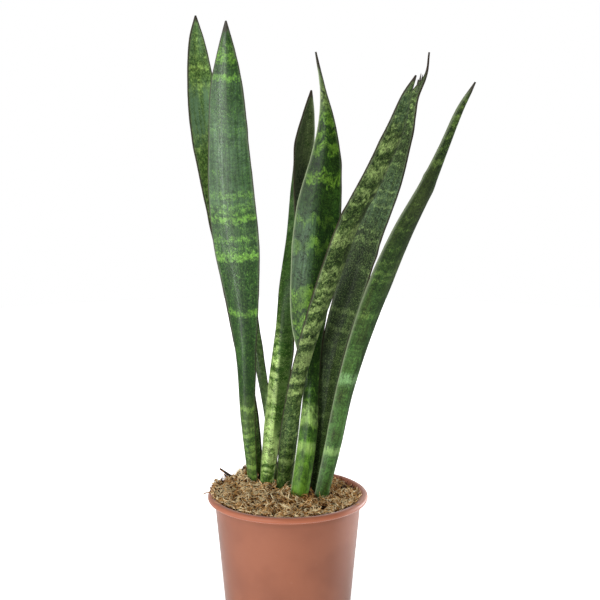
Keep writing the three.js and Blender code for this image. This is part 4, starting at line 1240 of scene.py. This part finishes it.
# %% Floor
STUDIO_REACH, STUDIO_SIDES = 1.3, 96
disc = bmesh.new()
bmesh.ops.create_circle(disc, cap_ends=True, segments=STUDIO_SIDES, radius=STUDIO_REACH)
floor = settled("studio_floor", disc)
paper = Finish("studio_paper")
away = paper.add("VectorMath", operation="LENGTH")
paper.feed(away.inputs[0], paper.position())
paper.set(Base_Color=(0.93, 0.93, 0.93, 1), Roughness=0.9, Specular_IOR_Level=0.1,
          Emission_Color=(1, 1, 1, 1),
          Emission_Strength=paper.fade(away.outputs["Value"], 0.1, 0.3, 0.65, 1.0))
floor.data.materials.append(paper.material)
floor.visible_glossy = False

# %% World
LIGHT_ON_THINGS, LIGHT_IN_VIEW = 0.15, 1.0
world = bpy.data.worlds.new("studio")
world.use_nodes = True
bpy.context.scene.world = world
sky = world.node_tree
background = sky.nodes["Background"]
path = sky.nodes.new("ShaderNodeLightPath")
strength = sky.nodes.new("ShaderNodeMapRange")
strength.inputs["To Min"].default_value = LIGHT_ON_THINGS
strength.inputs["To Max"].default_value = LIGHT_IN_VIEW
sky.links.new(path.outputs["Is Camera Ray"], strength.inputs["Value"])
sky.links.new(strength.outputs[0], background.inputs["Strength"])
background.inputs["Color"].default_value = (1, 1, 1, 1)
bpy.context.scene.view_settings.view_transform = "Standard"

# %% Lights
EDGE_BEAM = 20


def soft_light(name, place, target, size, power):
    data = bpy.data.lights.new(name, "AREA")
    data.shape = "RECTANGLE"
    data.size, data.size_y = size
    data.energy = power
    lamp = shown(name, data)
    lamp.location = place
    lamp.rotation_euler = (Vector(target) - Vector(place)).to_track_quat("-Z", "Y").to_euler()
    lamp.visible_camera = False
    return lamp


soft_light("key_softbox", (-0.85, -1.45, 0.56), (0, 0, 0.3), (0.45, 1.05), 17)
soft_light("side_softbox", (-1.6, -0.3, 0.8), (0, 0, 0.28), (0.6, 0.9), 6)
soft_light("top_softbox", (0.0, 0.5, 1.9), (0, 0, 0.2), (1.2, 1.2), 12)
fill = soft_light("fill_softbox", (1.2, -1.5, 0.9), (0, 0, 0.28), (0.8, 1.2), 3)
fill.visible_glossy = False
edge = soft_light("edge_softbox", (0.45, 0.3, 0.16), (0.066, 0.01, 0.125), (0.2, 0.12), 0.1)
edge.data.spread = math.radians(EDGE_BEAM)
strip = soft_light("strip_softbox", (-0.46, -0.3, 0.23), (0, 0, 0.23), (0.05, 0.44), 1.2)
strip.visible_diffuse = False

# %% [markdown]
# ## A last look at the meshes
#
# A cut can lose a piece, and a piece can be wound inside out, and neither has to show in a picture.
# So every piece is counted here: no open edges, a volume above zero, and exactly one finish.

# %% Check that every piece is closed and painted
others = set(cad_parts) | {floor.name}
for made in [item for item in bpy.data.objects if item.type == "MESH" and item.name not in others]:
    solid = bmesh.new()
    solid.from_mesh(made.data)
    open_edges = sum(not line.is_manifold for line in solid.edges)
    volume = solid.calc_volume(signed=True) / MM ** 3 / 1000
    solid.free()
    finishes = list(made.data.materials)
    print(f"{made.name}: {len(made.data.polygons)} faces, {open_edges} open edges, {volume:.3f} cm3")
    if open_edges or volume <= 0 or len(finishes) != 1 or None in finishes:
        raise RuntimeError(f"{made.name} is not a closed piece with one finish")
